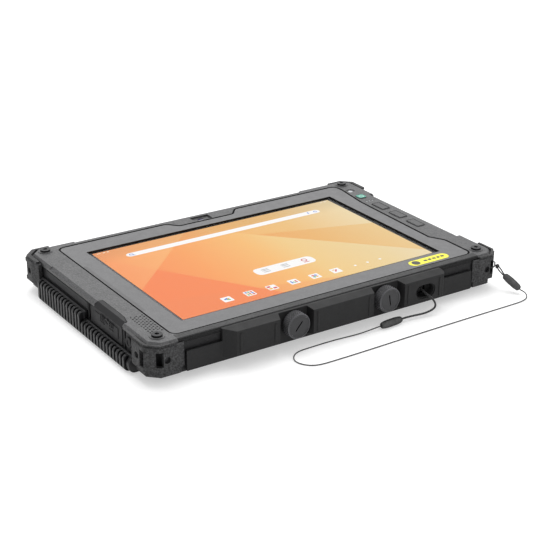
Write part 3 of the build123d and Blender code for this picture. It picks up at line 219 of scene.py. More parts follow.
def rope(name, path, radius, body, strands=2, lay=2.6, closed=False):
    """Twisted cord along a path: a round section with a shallow groove between its strands,
    which turn once round the cord in the length lay."""
    side, up = frame_along(path)
    lengths = np.concatenate([[0], np.cumsum(np.linalg.norm(np.diff(path, axis=0), axis=1))])
    ring = 6 * strands
    around = np.arange(ring) * 2 * math.pi / ring
    verts = []
    for centre, s, u, length in zip(path, side, up, lengths):
        crest = np.abs(np.cos(strands / 2 * (around + 2 * math.pi * length / lay)))
        swell = 1 - STRAND_GROOVE + STRAND_GROOVE * crest
        spread = radius * swell[:, None] * (np.cos(around)[:, None] * s + np.sin(around)[:, None] * u)
        verts += list(centre + spread)
    faces = []
    for k in range(len(path) - (0 if closed else 1)):
        low = k * ring
        high = ((k + 1) % len(path)) * ring
        for i in range(ring):
            j = (i + 1) % ring
            faces.append((low + i, low + j, high + j, high + i))
    if not closed:
        faces.append(tuple(reversed(range(ring))))
        faces.append(tuple(range((len(path) - 1) * ring, len(path) * ring)))
    return to_object(name, verts, faces, MATERIALS["cord"], body)


def lathe(name, profile, origin, axis, material, body, steps=48):
    """Solid of revolution: profile is (distance along the axis, radius) from end to end."""
    axis = np.array(axis, float) / np.linalg.norm(axis)
    side = np.cross(axis, (0.0, 0.0, 1.0))
    if np.linalg.norm(side) < NEARLY_ZERO:
        side = np.array((1.0, 0.0, 0.0))
    side /= np.linalg.norm(side)
    up = np.cross(axis, side)
    verts = []
    for along, radius in profile:
        for i in range(steps):
            turn = 2 * math.pi * i / steps
            verts.append(tuple(np.array(origin) + axis * along
                               + radius * (math.cos(turn) * side + math.sin(turn) * up)))
    faces = []
    for k in range(len(profile) - 1):
        for i in range(steps):
            j = (i + 1) % steps
            faces.append((k * steps + i, k * steps + j, (k + 1) * steps + j, (k + 1) * steps + i))
    faces.append(tuple(reversed(range(steps))))
    faces.append(tuple(range((len(profile) - 1) * steps, len(profile) * steps)))
    return to_object(name, verts, faces, material, body)


# ------------------------------------------------------------------ material helpers
class Shader:
    """A material's node tree, built call by call."""

    def __init__(self, name):
        self.material = bpy.data.materials.new(name)
        self.material.use_nodes = True
        self.tree = self.material.node_tree
        self.tree.nodes.clear()
        self.output = self.tree.nodes.new("ShaderNodeOutputMaterial")
        self.place = self.add("TexCoord").outputs["Object"]

    def add(self, kind, inputs=None, **settings):
        """A node of this kind, with its inputs by name or number and its other settings."""
        node = self.tree.nodes.new("ShaderNode" + kind)
        for key, value in settings.items():
            setattr(node, key, value)
        for key, value in (inputs or {}).items():
            self.set(node.inputs[key], value)
        return node

    def set(self, socket, value):
        """Link or set an input socket, whichever the value calls for."""
        if isinstance(value, bpy.types.NodeSocket):
            self.tree.links.new(value, socket)
        elif isinstance(value, (tuple, list)) and len(value) == 3 and socket.type == "RGBA":
            socket.default_value = (*value, 1.0)
        else:
            socket.default_value = value

    def noise(self, size, detail=2.0, rough=0.5, stretch=None, seed=0.0):
        """Noise with features about size millimetres across, from 0 to 1."""
        place = self.place
        if stretch:
            place = self.add("Mapping", {"Vector": place, "Scale": stretch}).outputs["Vector"]
        node = self.add("TexNoise", {"Vector": place, "W": seed, "Scale": 1.0 / (size * MM),
                                     "Detail": detail, "Roughness": rough}, noise_dimensions="4D")
        return node.outputs["Fac"]

    def cells(self, size):
        """Distance to the nearest of random points about size millimetres apart."""
        node = self.add("TexVoronoi", {"Vector": self.place, "Scale": 1.0 / (size * MM)})
        return node.outputs["Distance"]

    def range(self, value, low, high, start, end, smooth=False):
        """Map value from low..high onto start..end, clamped."""
        kind = "SMOOTHSTEP" if smooth else "LINEAR"
        node = self.add("MapRange", {"Value": value, "From Min": low, "From Max": high,
                                     "To Min": start, "To Max": end}, interpolation_type=kind)
        return node.outputs["Result"]

    def math(self, operation, a, b=0.0):
        node = self.add("Math", operation=operation)
        self.set(node.inputs[0], a)
        self.set(node.inputs[1], b)
        return node.outputs[0]

    def invert(self, value):
        return self.math("SUBTRACT", 1.0, value)

    def scaled(self, value, factor):
        return self.math("MULTIPLY", value, factor)

    def mix(self, share, a, b, blend="MIX"):
        """Colour a, turned into colour b by the share."""
        node = self.add("Mix", data_type="RGBA", blend_type=blend)
        self.set(node.inputs[0], share)
        self.set(node.inputs[6], a)
        self.set(node.inputs[7], b)
        return node.outputs[2]

    def bump(self, height, depth, normal=None):
        """Normal of a relief depth millimetres deep, on top of another normal if one is given."""
        inputs = {"Height": height, "Strength": 1.0, "Distance": depth * MM}
        if normal is not None:
            inputs["Normal"] = normal
        return self.add("Bump", inputs).outputs["Normal"]

    def beyond(self, start, end, soft=0.25):
        """1 on the left of the line from start to end, seen from above, and 0 on its right."""
        (ax, ay), (bx, by) = start, end
        length = math.hypot(bx - ax, by - ay)
        nx, ny = (ay - by) / length, (bx - ax) / length
        axes = self.add("SeparateXYZ", {"Vector": self.place}).outputs
        distance = self.math("ADD", self.scaled(axes["X"], nx / MM), self.scaled(axes["Y"], ny / MM))
        edge = nx * ax + ny * ay
        return self.range(distance, edge - soft, edge + soft, 0.0, 1.0)

    def inside(self, x0, x1, y0, y1, amount):
        """The amount inside a rectangle seen from above, and 0 outside it."""
        mask = self.scaled(self.beyond((x0, y1), (x0, y0)), self.beyond((x1, y0), (x1, y1)))
        mask = self.scaled(mask, self.beyond((x0, y0), (x1, y0)))
        mask = self.scaled(mask, self.beyond((x1, y1), (x0, y1)))
        return self.scaled(mask, amount)

    def ramp(self, value, stops):
        """Colour ramp from (position, colour) stops."""
        node = self.add("ValToRGB", {"Fac": value})
        elements = node.color_ramp.elements
        while len(elements) < len(stops):
            elements.new(1.0)
        for element, (position, color) in zip(elements, stops):
            element.position = position
            element.color = (*color, 1.0)
        return node.outputs["Color"]

    def edges(self, radius):
        """(normal rounded over a radius, mask that is 1 on sharp edges)."""
        rounded = self.add("Bevel", {"Radius": radius * MM}, samples=4).outputs["Normal"]
        normal = self.add("NewGeometry").outputs["Normal"]
        node = self.add("VectorMath", operation="DOT_PRODUCT")
        self.set(node.inputs[0], rounded)
        self.set(node.inputs[1], normal)
        return rounded, self.range(node.outputs["Value"], 0.985, 0.86, 0.0, 1.0)

    def surface(self, **inputs):
        """Finish the material with one principled shader, and return the material."""
        names = {"color": "Base Color", "rough": "Roughness", "metal": "Metallic", "normal": "Normal",
                 "spec": "Specular IOR Level", "coat": "Coat Weight", "coat_rough": "Coat Roughness",
                 "glow": "Emission Color", "glow_strength": "Emission Strength",
                 "sheen": "Sheen Weight"}
        node = self.add("BsdfPrincipled", {names[key]: value for key, value in inputs.items()})
        self.tree.links.new(node.outputs[0], self.output.inputs["Surface"])
        return self.material


def display_color(red, green, blue):
    """Linear colour from 0-255 display values."""
    return tuple((channel / 255) ** 2.2 for channel in (red, green, blue))


def tinted(color, factor):
    """The colour made lighter or darker by a factor."""
    return tuple(channel * factor for channel in color)


def moulded(name, color, rough, grain, depth, mottle=0.1, wear=0.5, gain=2.1, spec=0.5, speck=0.14,
            shade_stripes=(), grooves=(), dark_sides=False, hollows=0.0):
    """Moulded plastic or rubber with a spark texture of some grain and depth.

    mottle and speck vary the colour over patches and grains. wear lightens the edges towards a
    colour gain times lighter, which is partly rubbed wear and partly a painted highlight where the
    edges catch the light. stripes are darkened as painted shade and reflection, and grooves are
    darkened and dulled, the narrow ones as painted shade in grooves that are not modelled. With
    dark_sides the upright faces are painted black as shade, and hollows is the reach of the painted
    shade in narrow gaps.
    """
    s = Shader(name)
    patches = s.noise(size=26.0, detail=3.0, seed=1.0)
    clouds = s.noise(size=5.0, detail=2.0, seed=2.0)
    fine = s.noise(size=grain, detail=3.0, rough=0.65, seed=3.0)
    pits = s.cells(size=1.7 * grain)
    shade = s.math("ADD", s.range(patches, 0.3, 0.7, 1 - mottle, 1 + mottle),
                   s.range(clouds, 0.35, 0.65, -mottle / 3, mottle / 3))
    shade = s.scaled(shade, s.range(fine, 0.34, 0.66, 1 - speck, 1 + speck))
    # Painted shade and reflection: darker bands on the overlay
    for stripe in shade_stripes:
        shade = s.scaled(shade, s.invert(s.inside(*stripe)))
    # Grooves: darker, duller areas; the narrow ones are painted shade in grooves that are not modelled
    for groove in grooves:
        outside = s.invert(s.inside(*groove))
        shade = s.scaled(shade, outside)
        spec = s.scaled(outside, spec)
    # Painted shade: upright faces, the walls of the gap round the overlay, are made nearly black
    if dark_sides:
        facing = s.add("SeparateXYZ", {"Vector": s.add("NewGeometry").outputs["True Normal"]})
        level = s.math("ABSOLUTE", facing.outputs["Z"])
        shade = s.scaled(shade, s.range(level, 0.4, 0.8, 0.03, 1.0))
    # Painted shade in narrow gaps, such as between the grip ribs, on colour and specular alike
    if hollows:
        open_sky = s.add("AmbientOcclusion", {"Distance": hollows * MM}, samples=6).outputs["AO"]
        open_sky = s.range(open_sky, 0.25, 0.8, 0.05, 1.0)
        shade = s.scaled(shade, open_sky)
        spec = s.scaled(open_sky, spec)
    grey = s.add("CombineColor", {"Red": shade, "Green": shade, "Blue": shade}).outputs[0]
    base = s.mix(1.0, color, grey, "MULTIPLY")
    rounded, edge = s.edges(radius=0.35)
    # Edge lightening: partly rubbed wear, partly a painted highlight where the edges catch the light
    rub_and_highlight = s.scaled(edge, s.range(clouds, 0.35, 0.62, 0.25, 1.0))
    rub_and_highlight = s.scaled(rub_and_highlight, wear)
    base = s.mix(rub_and_highlight, base, tinted(color, gain))
    roughness = s.math("ADD", s.range(clouds, 0.3, 0.7, rough - 0.05, rough + 0.05),
                       s.scaled(rub_and_highlight, -0.12))
    height = s.math("ADD", s.scaled(fine, 0.7), s.scaled(pits, 0.6))
    return s.surface(color=base, rough=roughness, normal=s.bump(height, depth, rounded), spec=spec)


def machined(name, color, rough, metal=1.0, wear=0.4, gain=2.6, knurled=False):
    """Turned or brushed metal: fine lines, small stains, edges lightened gain times, which is partly rubbed
    wear and partly a painted highlight.
    """
    s = Shader(name)
    lines = s.noise(size=0.06, detail=2.0, stretch=(1.0, 12.0, 1.0), seed=5.0)
    stains = s.noise(size=4.0, detail=3.0, seed=6.0)
    base = s.mix(s.range(stains, 0.35, 0.65, 0.0, 0.35), color, tinted(color, 0.72))
    rounded, edge = s.edges(radius=0.2)
    # Edge lightening: partly rubbed wear, partly a painted highlight on the rims
    base = s.mix(s.scaled(edge, wear), base, tinted(color, gain))
    if knurled:
        # Pointiness is 0.5 on level metal, less in a groove and more on a crest; the knob's flat
        # face, which looks along Y, is left alone
        geometry = s.add("NewGeometry").outputs
        axial = s.add("SeparateXYZ", {"Vector": geometry["True Normal"]}).outputs["Y"]
        rim = s.range(s.math("ABSOLUTE", axial), 0.8, 0.95, 1.0, 0.0)
        relief = s.scaled(s.math("SUBTRACT", geometry["Pointiness"], 0.5), rim)
        relief = s.math("ADD", relief, 0.5)
        # Painted shade in the knurl grooves and a painted highlight on the crests
        base = s.mix(s.range(relief, 0.44, 0.5, 1.0, 0.0), base, tinted(color, 0.15))
        base = s.mix(s.range(relief, 0.5, 0.56, 0.0, 1.0), base, tinted(color, 3.6))
    roughness = s.math("ADD", s.range(lines, 0.3, 0.7, rough - 0.07, rough + 0.07),
                       s.range(stains, 0.3, 0.7, -0.04, 0.04))
    return s.surface(color=base, rough=roughness, metal=metal, normal=s.bump(lines, 0.012, rounded))


def cord_material(name, color):
    """Woven cord: tiny fibres over the modelled lay of the strands."""
    s = Shader(name)
    fibres = s.noise(size=0.12, detail=2.0, seed=7.0)
    wear = s.noise(size=6.0, detail=2.0, seed=8.0)
    base = s.mix(s.range(fibres, 0.4, 0.75, 0.0, 0.6), color, tinted(color, 3.0))
    base = s.mix(s.range(wear, 0.4, 0.7, 0.0, 0.25), base, tinted(color, 2.0))
    return s.surface(color=base, rough=s.range(fibres, 0.3, 0.7, 0.6, 0.85), sheen=0.25,
                     normal=s.bump(fibres, 0.05))


def glass_cover(name):
    """Thin anti-glare cover glass: clear, with a faint smudged reflection, and black on its upright faces.
    """
    s = Shader(name)
    smudge = s.noise(size=22.0, detail=4.0, rough=0.6, seed=9.0)
    clear = s.add("BsdfTransparent", {"Color": (0.98, 0.98, 0.98)})
    shine = s.add("BsdfGlossy", {"Color": (1.0, 1.0, 1.0),
                                 "Roughness": s.range(smudge, 0.35, 0.7, 0.06, 0.16)})
    geometry = s.add("NewGeometry").outputs
    # The coating takes away nine tenths of the reflection, and only the outer face reflects
    amount = s.scaled(s.add("Fresnel", {"IOR": 1.38}).outputs[0], 0.1)
    amount = s.scaled(amount, s.invert(geometry["Backfacing"]))
    glass = s.add("MixShader", {0: amount, 1: clear.outputs[0], 2: shine.outputs[0]})
    facing = s.add("SeparateXYZ", {"Vector": geometry["True Normal"]})
    upright = s.range(s.math("ABSOLUTE", facing.outputs["Z"]), 0.3, 0.7, 1.0, 0.0)
    black = s.add("BsdfDiffuse", {"Color": (0.004, 0.004, 0.004)})
    sheet = s.add("MixShader", {0: upright, 1: glass.outputs[0], 2: black.outputs[0]})
    s.tree.links.new(sheet.outputs[0], s.output.inputs["Surface"])
    return s.material


def lens_glass(name, color):
    """Dark coated lens with a blue-violet bloom and fine dust."""
    s = Shader(name)
    facing = s.add("LayerWeight", {"Blend": 0.35}).outputs["Facing"]
    dust = s.noise(size=0.35, detail=3.0, seed=10.0)
    base = s.mix(facing, color, (0.05, 0.03, 0.12))
    return s.surface(color=base, rough=s.range(dust, 0.55, 0.75, 0.04, 0.2), coat=1.0,
                     coat_rough=0.03, spec=0.8)


def lit(name, color, strength):
    """Glowing screen graphic with a faint grain of pixels."""
    s = Shader(name)
    pixels = s.noise(size=0.22, detail=1.0, seed=11.0)
    shade = s.mix(s.range(pixels, 0.3, 0.7, 0.0, 0.06), color, tinted(color, 0.8))
    return s.surface(color=(0.02, 0.02, 0.02), rough=0.5, spec=0.0, glow=shade, glow_strength=strength)


def wallpaper(name, strength):
    """Screen background of folded facets, deep orange at the left and cream at the right. Each
    fold is a straight line through two points of the screen."""
    s = Shader(name)
    half_width = PICTURE[0] / 2 * MM
    across = s.add("SeparateXYZ", {"Vector": s.place}).outputs["X"]
    across = s.range(across, -half_width, half_width, 0.0, 1.0)
    field = s.ramp(across, [
        (0.05, display_color(248, 145, 94)), (0.27, display_color(249, 164, 100)),
        (0.50, display_color(246, 189, 118)), (0.62, display_color(241, 204, 139)),
        (0.85, display_color(236, 211, 158)), (0.98, display_color(235, 216, 176)),
    ])
    wedge = s.ramp(across, [
        (0.55, display_color(239, 170, 103)), (0.75, display_color(235, 182, 114)),
        (1.0, display_color(234, 201, 143)),
    ])
    corner = s.ramp(across, [
        (0.5, display_color(243, 184, 114)), (0.72, display_color(237, 192, 126)),
        (1.0, display_color(236, 216, 172)),
    ])
    upper_left = s.beyond((-84.5, -6.7), (-23.3, 53.4))
    lower_left = s.invert(s.beyond((-88.1, 47.1), (-24.0, -48.9)))
    above_fold = s.beyond((12.9, 27.3), (82.3, 6.0))
    beyond_ridge = s.invert(s.beyond((87.5, -49.8), (5.8, 34.7)))
    crease = s.scaled(s.beyond((58.0, 41.1), (55.4, -29.2), soft=0.3),
                      s.beyond((54.9, -29.2), (57.5, 41.1), soft=0.3))
    dark_band = s.invert(s.beyond((-79.5, -28.6), (-22.5, -42.3), soft=0.4))
    shaded_top = s.invert(s.beyond((86.0, 41.0), (-86.0, 41.0), soft=6.0))
    field = s.mix(s.scaled(lower_left, 0.85), field, display_color(247, 137, 90))
    field = s.mix(s.scaled(upper_left, s.range(across, 0.0, 0.35, 0.35, 0.8)), field,
                  display_color(249, 188, 124))
    field = s.mix(beyond_ridge, field, s.mix(above_fold, wedge, corner))
    field = s.mix(s.scaled(crease, 0.3), field, display_color(240, 222, 180))
    field = s.mix(s.scaled(dark_band, 0.25), field, display_color(236, 140, 96))
    field = s.mix(s.scaled(shaded_top, 0.16), field, display_color(120, 96, 72))
    pixels = s.noise(size=0.3, detail=1.0, seed=15.0)
    dim_pixel = tinted(display_color(247, 150, 96), 0.7)
    field = s.mix(s.range(pixels, 0.3, 0.7, 0.0, 0.03), field, dim_pixel)
    return s.surface(color=(0.02, 0.02, 0.02), rough=0.5, spec=0.0, glow=field, glow_strength=strength)


def silicone(name, middle, rim):
    """Soft satin rubber with painted shade that darkens it towards its outline, as seen from the camera."""
    s = Shader(name)
    facing = s.add("LayerWeight", {"Blend": 0.55}).outputs["Facing"]
    blotch = s.noise(size=1.6, detail=3.0, seed=16.0)
    # Painted shade: the colour falls from middle to rim as the surface turns away from the camera
    base = s.mix(s.range(facing, 0.15, 0.85, 0.0, 1.0, smooth=True), middle, rim)
    base = s.mix(s.range(blotch, 0.35, 0.65, 0.0, 0.3), base, tinted(rim, 1.5))
    return s.surface(color=base, rough=s.range(blotch, 0.3, 0.7, 0.42, 0.55), spec=0.08,
                     normal=s.bump(blotch, 0.03))


def painted_label(name, color):
    """Printed film: slight wrinkle, satin coat, faint print grain."""
    s = Shader(name)
    grain = s.noise(size=0.25, detail=2.0, seed=12.0)
    ripple = s.noise(size=6.0, detail=1.0, seed=13.0)
    base = s.mix(s.range(grain, 0.35, 0.7, 0.0, 0.12), color, tinted(color, 0.75))
    return s.surface(color=base, rough=s.range(grain, 0.3, 0.7, 0.32, 0.42), spec=0.4,
                     normal=s.bump(ripple, 0.03))


def board_material(name, color):
    """Solder mask with copper traces showing through."""
    s = Shader(name)
    traces = s.add("TexBrick", {"Vector": s.place, "Scale": 260.0, "Color1": color,
                                "Color2": tinted(color, 0.8), "Mortar": tinted(color, 1.8),
                                "Mortar Size": 0.05}).outputs["Color"]
    cloud = s.noise(size=9.0, seed=14.0)
    base = s.mix(s.range(cloud, 0.35, 0.7, 0.0, 0.3), traces, tinted(color, 0.6))
    return s.surface(color=base, rough=s.range(cloud, 0.3, 0.7, 0.25, 0.4),
                     normal=s.bump(cloud, 0.02))


SCREEN_GLOW = 1.0
PICTURE = (172.2, 107.6)  # the lit area of the panel
overlay_low, overlay_high = box_mm("display_overlay")
frame_front = box_mm("front_frame")[0].y

# Rectangles seen from above: lowest and highest x, lowest and highest y, share of the tone lost
# Darker bands painted along the overlay's left and right edges, standing in for a dark reflection and shade
# on the real cover
OVERLAY_SHADE_STRIPES = ((-101.3, -98.4, -35.6, 36.0, 0.3), (97.6, 100.2, -36.0, 30.0, 0.18))
# LIP_GROOVE and FRONT_GROOVE are painted shade: dark lines where the frame has grooves that are not
# modelled. FRONT_STRIP is a darker, duller band of the frame in front of the overlay.
LIP_GROOVE = (-112.7, -112.0, -32.9, -11.7, 0.92)
FRONT_STRIP = (overlay_low.x, overlay_high.x, frame_front - 1.0, overlay_low.y, 0.5)
FRONT_GROOVE = (overlay_low.x, overlay_high.x, frame_front - 1.0, frame_front + 0.8, 0.6)

# One material for each slot of the record: name, colour, roughness, grain and its depth, and more
MATERIALS = {
    "frame_plastic": moulded("frame_plastic", (0.060, 0.060, 0.062), 0.5, 0.8, 0.10, mottle=0.07,
                             wear=0.5, speck=0.55,
                             grooves=(LIP_GROOVE, FRONT_STRIP, FRONT_GROOVE)),
    "overlay_print": moulded("overlay_print", (0.088, 0.088, 0.091), 0.42, 0.7, 0.004, mottle=0.02,
                             wear=0.0, speck=0.18, dark_sides=True, shade_stripes=OVERLAY_SHADE_STRIPES),
    "glass": glass_cover("cover_glass"),
    "screen": moulded("panel_border", (0.012, 0.012, 0.013), 0.4, 0.3, 0.01, wear=0.0),
    "gasket": moulded("gasket_foam", (0.006, 0.006, 0.006), 0.9, 0.5, 0.08, wear=0.0, spec=0.1),
    "chassis": moulded("chassis_plastic", (0.010, 0.010, 0.011), 0.55, 0.8, 0.08, speck=0.5, spec=0.25),
    "bumper": moulded("bumper_rubber", (0.027, 0.027, 0.028), 0.6, 0.9, 0.2, mottle=0.12, wear=0.5,
                      spec=0.35, speck=1.0),
    # Grip ribs: the strong edge lightening is mostly a painted highlight on the rib tops, and hollows paints
    # shade between the ribs
    "rubber_black": moulded("grip_rubber", (0.010, 0.010, 0.011), 0.45, 0.5, 0.03, wear=1.0, gain=8.0,
                            spec=0.4, hollows=3.0),
    "door_rubber": moulded("door_rubber", (0.015, 0.015, 0.016), 0.6, 0.5, 0.03, wear=0.5, spec=0.3),
    # Battery bar: the edge lightening is partly a painted highlight along the block edges
    "bar_plastic": moulded("bar_plastic", (0.0135, 0.0135, 0.014), 0.58, 0.6, 0.02, mottle=0.05,
                           wear=0.7, gain=3.5, spec=0.22, speck=0.2),
    "screw_steel": machined("black_oxide_steel", (0.035, 0.035, 0.037), 0.35),
    # Knob: painted highlight on its edges and knurl crests, painted shade in the knurl grooves
    "knob": machined("knob_anodised", (0.026, 0.026, 0.028), 0.42, metal=0.3, wear=0.9, gain=5.0,
                     knurled=True),
    "brass": machined("brass", (0.56, 0.36, 0.12), 0.28),
    "steel": machined("steel", (0.42, 0.42, 0.44), 0.28),
    "board": board_material("solder_mask", (0.02, 0.12, 0.05)),
    "battery": moulded("shrink_wrap", (0.02, 0.02, 0.024), 0.36, 0.6, 0.02),
    "lens": lens_glass("coated_lens", (0.006, 0.008, 0.014)),
    "key_rubber": moulded("key_rubber", (0.058, 0.058, 0.060), 0.55, 0.7, 0.05, wear=0.3, speck=0.25),
    "light_white": moulded("light_pipe", (0.36, 0.37, 0.39), 0.28, 0.3, 0.01, mottle=0.03, wear=0.0),
    "cord": cord_material("cord", (0.010, 0.010, 0.011)),
    "cord_lock": silicone("cord_lock", (0.10, 0.10, 0.10), (0.003, 0.003, 0.003)),
    "stylus_plastic": moulded("stylus_plastic", (0.007, 0.007, 0.0075), 0.4, 0.3, 0.015, spec=0.25),
}

for part in frame["record"]["subparts"]:
    node = NODES[part["node"]]
    node.data.materials.clear()
    node.data.materials.append(MATERIALS[part["material_slot"]])
NODES["hinge_pins"].data.materials[0] = machined("blackened_steel", (0.02, 0.02, 0.021), 0.4, metal=0.6)

# ------------------------------------------------------------------ rounded edges on CAD nodes
EDGE_WIDTHS = {
    "front_frame": 0.3, "chassis": 0.25, "battery_bar": 0.9, "back_cover": 0.3, "rear_plate": 0.4,
    "bumper_front_left": 0.5, "bumper_front_right": 0.5, "bumper_back_left": 0.5,
    "bumper_back_right": 0.5, "side_grip_left": 0.3, "side_grip_right": 0.3,
    "upper_port_door": 0.25, "lower_port_door": 0.25, "case_screws": 0.25, "bumper_screws": 0.12,
    "power_key": 0.15, "function_key_1": 0.15, "function_key_2": 0.15, "function_key_3": 0.15,
    "display_overlay": 0.1,
}
for name, width in EDGE_WIDTHS.items():
    soften(NODES[name], width)

# ------------------------------------------------------------------ thumbscrews
KNURLS = 30
KNURL_DEPTH = 0.6
KNURL_ROWS = 28
KNURL_START = 0.55  # from the front of the knob
KNURL_LENGTH = 5.3
KNOB_DEPTH = 6.3
FACE_SINK = 0.35  # the face lies this far behind the lip round it
SHOULDER_DEPTH = 7.9
SHOULDER_R = 2.5
SHANK_R = 2.0
SLOT_LENGTH, SLOT_WIDTH, SLOT_DEPTH = 6.6, 0.8, 1.3


def triangle_wave(value):
    """0 at whole numbers and 1 half way between them."""
    return np.abs(2.0 * (value - np.floor(value + 0.5)))


def knurled_knob(side, slot_turn):
    """Captive thumbscrew: diamond knurling, thin lip, sunk face with a coin slot, plain shank."""
    node = f"thumbscrew_{side}"
    low, high = box_mm(node)
    centre = ((low.x + high.x) / 2, low.y, (low.z + high.z) / 2)
    radius = (high.x - low.x) / 2
    around = np.arange(6 * KNURLS) / (6 * KNURLS)
    count = len(around)
    # The face, the lip that stands in front of it, and the chamfer that leads to the knurling
    rings = [(along, np.full(count, radius - inset)) for along, inset in (
        (FACE_SINK, 3.2), (FACE_SINK, 1.5), (0.0, 1.2), (0.0, 0.75), (0.35, 0.35))]
    pitch = 2 * math.pi * radius / KNURLS
    for row in range(KNURL_ROWS + 1):
        along = KNURL_START + KNURL_LENGTH * row / KNURL_ROWS
        left = triangle_wave(KNURLS * around + along / pitch)
        right = triangle_wave(KNURLS * around - along / pitch)
        rings.append((along, radius - KNURL_DEPTH * np.maximum(left, right)))
    rings += [(along, np.full(count, plain_radius)) for along, plain_radius in (
        (KNOB_DEPTH, radius - 0.9), (KNOB_DEPTH, SHOULDER_R), (SHOULDER_DEPTH, SHOULDER_R),
        (SHOULDER_DEPTH, SHANK_R), (high.y - low.y, SHANK_R))]
    verts = []
    for along, radii in rings:
        verts += [(centre[0] + r * math.cos(2 * math.pi * a), centre[1] + along,
                   centre[2] + r * math.sin(2 * math.pi * a)) for r, a in zip(radii, around)]
    faces = [tuple(range(count)), tuple(reversed(range(len(verts) - count, len(verts))))]
    for start in range(0, len(verts) - count, count):
        faces += [(start + (i + 1) % count, start + i, start + count + i,
                   start + count + (i + 1) % count) for i in range(count)]
    knob = to_object(f"knob_{side}", verts, faces, MATERIALS["knob"], None, smooth=False)
    slot_floor = (centre[0], centre[1] + FACE_SINK + SLOT_DEPTH, centre[2])
    cutter = reliefs("slot_cutter", [bar(0, 0, SLOT_LENGTH, SLOT_WIDTH, slot_turn)], slot_floor,
                     (1, 0, 0), (0, 0, 1), SLOT_DEPTH + 2.0, MATERIALS["knob"], None)
    cut_away(knob, cutter)
    knob.data.materials.clear()
    knob.data.materials.append(MATERIALS["knob"])
    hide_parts(node)
    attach(knob, node)


knurled_knob("left", slot_turn=50.0)
knurled_knob("right", slot_turn=100.0)

# ------------------------------------------------------------------ tether
THIN_CORD_R = 0.35
THICK_CORD_R = 0.6
LOOP_CORD_R = 0.42
LYING = 0.5  # height of the thin cord's middle where it lies on the table
CORD_STEP = 0.4

# Where the cords enter and leave the two cord locks, and the far end of the thin cord's round trip
STYLUS_LOCK = np.array(((38.9, -84.4, 2.35), (23.6, -85.4, 2.35)))
POST_LOCK = np.array(((119.6, -81.2, 9.4), (123.3, -91.4, 3.2)))
FAR_TURN = (-39.4, -92.6, LYING)

LOCK_R = 2.3
MOUTH_R = 1.05  # mouth of the bore, at both ends of a cord lock
LIP_R = 0.85
LIP_DEPTH = 0.12
BORE_R = 0.75
BORE_DEPTH = 0.7
BEAD_STEPS = 24


def cord_lock(name, start, end, body, node):
    """Blunt-ended soft barrel with a bore mouth at each end."""
    length = np.linalg.norm(end - start)
    mouth = [(BORE_DEPTH, BORE_R), (LIP_DEPTH, LIP_R), (0.0, MOUTH_R)]
    profile = list(mouth)
    for i in range(BEAD_STEPS + 1):
        # Three tenths thinner at the ends than in the middle, with rounded rims
        t = i / BEAD_STEPS
        swell = 1.0 - 0.30 * abs(2 * t - 1) ** 3.2
        fillet = min(1.0, 0.78 + 0.9 * min(t, 1 - t) * length / 1.2)
        profile.append((LIP_DEPTH + (length - 2 * LIP_DEPTH) * t, LOCK_R * swell * fillet))
    profile += [(length - along, radius) for along, radius in reversed(mouth)]
    lock = lathe(name, profile, start, end - start, MATERIALS["cord_lock"], body)
    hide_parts(node)


cord_lock("stylus_cord_barrel", *STYLUS_LOCK, "stylus", "stylus_cord_lock")
cord_lock("post_cord_barrel", *POST_LOCK, "case", "post_cord_lock")
toward_far = STYLUS_LOCK[1] - STYLUS_LOCK[0]
toward_post = POST_LOCK[0] - POST_LOCK[1]

# Thick cord from the stylus to its cord lock
stylus_low, stylus_high = box_mm("stylus_barrel")
stylus_end = ((stylus_low.x + stylus_high.x) / 2, stylus_low.y + 0.1, (stylus_low.z + stylus_high.z) / 2)
thick_path = smooth_path(
    [stylus_end, (58.4, -81.0, 12.8), (61.6, -85.8, 8.3), (62.2, -86.2, 5.2), (58.6, -86.0, 3.1),
     (49.0, -85.0, 2.4), STYLUS_LOCK[0]], (0, -1, 0), toward_far, 0.3)
thick_cord = rope("twisted_stylus_cord", thick_path, THICK_CORD_R, "stylus", strands=3, lay=4.2)
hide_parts("stylus_cord")

# Thin cord out to its far turn, and back to the lanyard post in two lengths
out_path = smooth_path(
    [STYLUS_LOCK[1], (11.0, -84.4, 1.0), (-5.0, -82.8, LYING), (-24.0, -82.8, LYING),
     (-34.6, -84.9, LYING), FAR_TURN], toward_far, (0, -1, 0), CORD_STEP)
out_cord = rope("twisted_outgoing_cord", out_path, THIN_CORD_R, "stylus")
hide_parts("stylus_tether")
back_path = smooth_path(
    [FAR_TURN, (-35.0, -100.4, LYING), (-24.4, -102.6, LYING), (24.8, -102.0, LYING),
     (71.0, -101.4, LYING), (110.0, -101.2, LYING), (118.6, -100.4, LYING + 0.05),
     (123.6, -97.5, LYING + 0.5), (124.6, -94.5, LYING + 1.4), POST_LOCK[1]],
    (0, -1, 0), toward_post, CORD_STEP)
halfway = len(back_path) // 2
far_cord = rope("twisted_return_cord_far", back_path[:halfway + 1], THIN_CORD_R, None)
near_cord = rope("twisted_return_cord_near", back_path[halfway:], THIN_CORD_R, None)
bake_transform(far_cord)
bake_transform(near_cord)
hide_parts("return_tether")

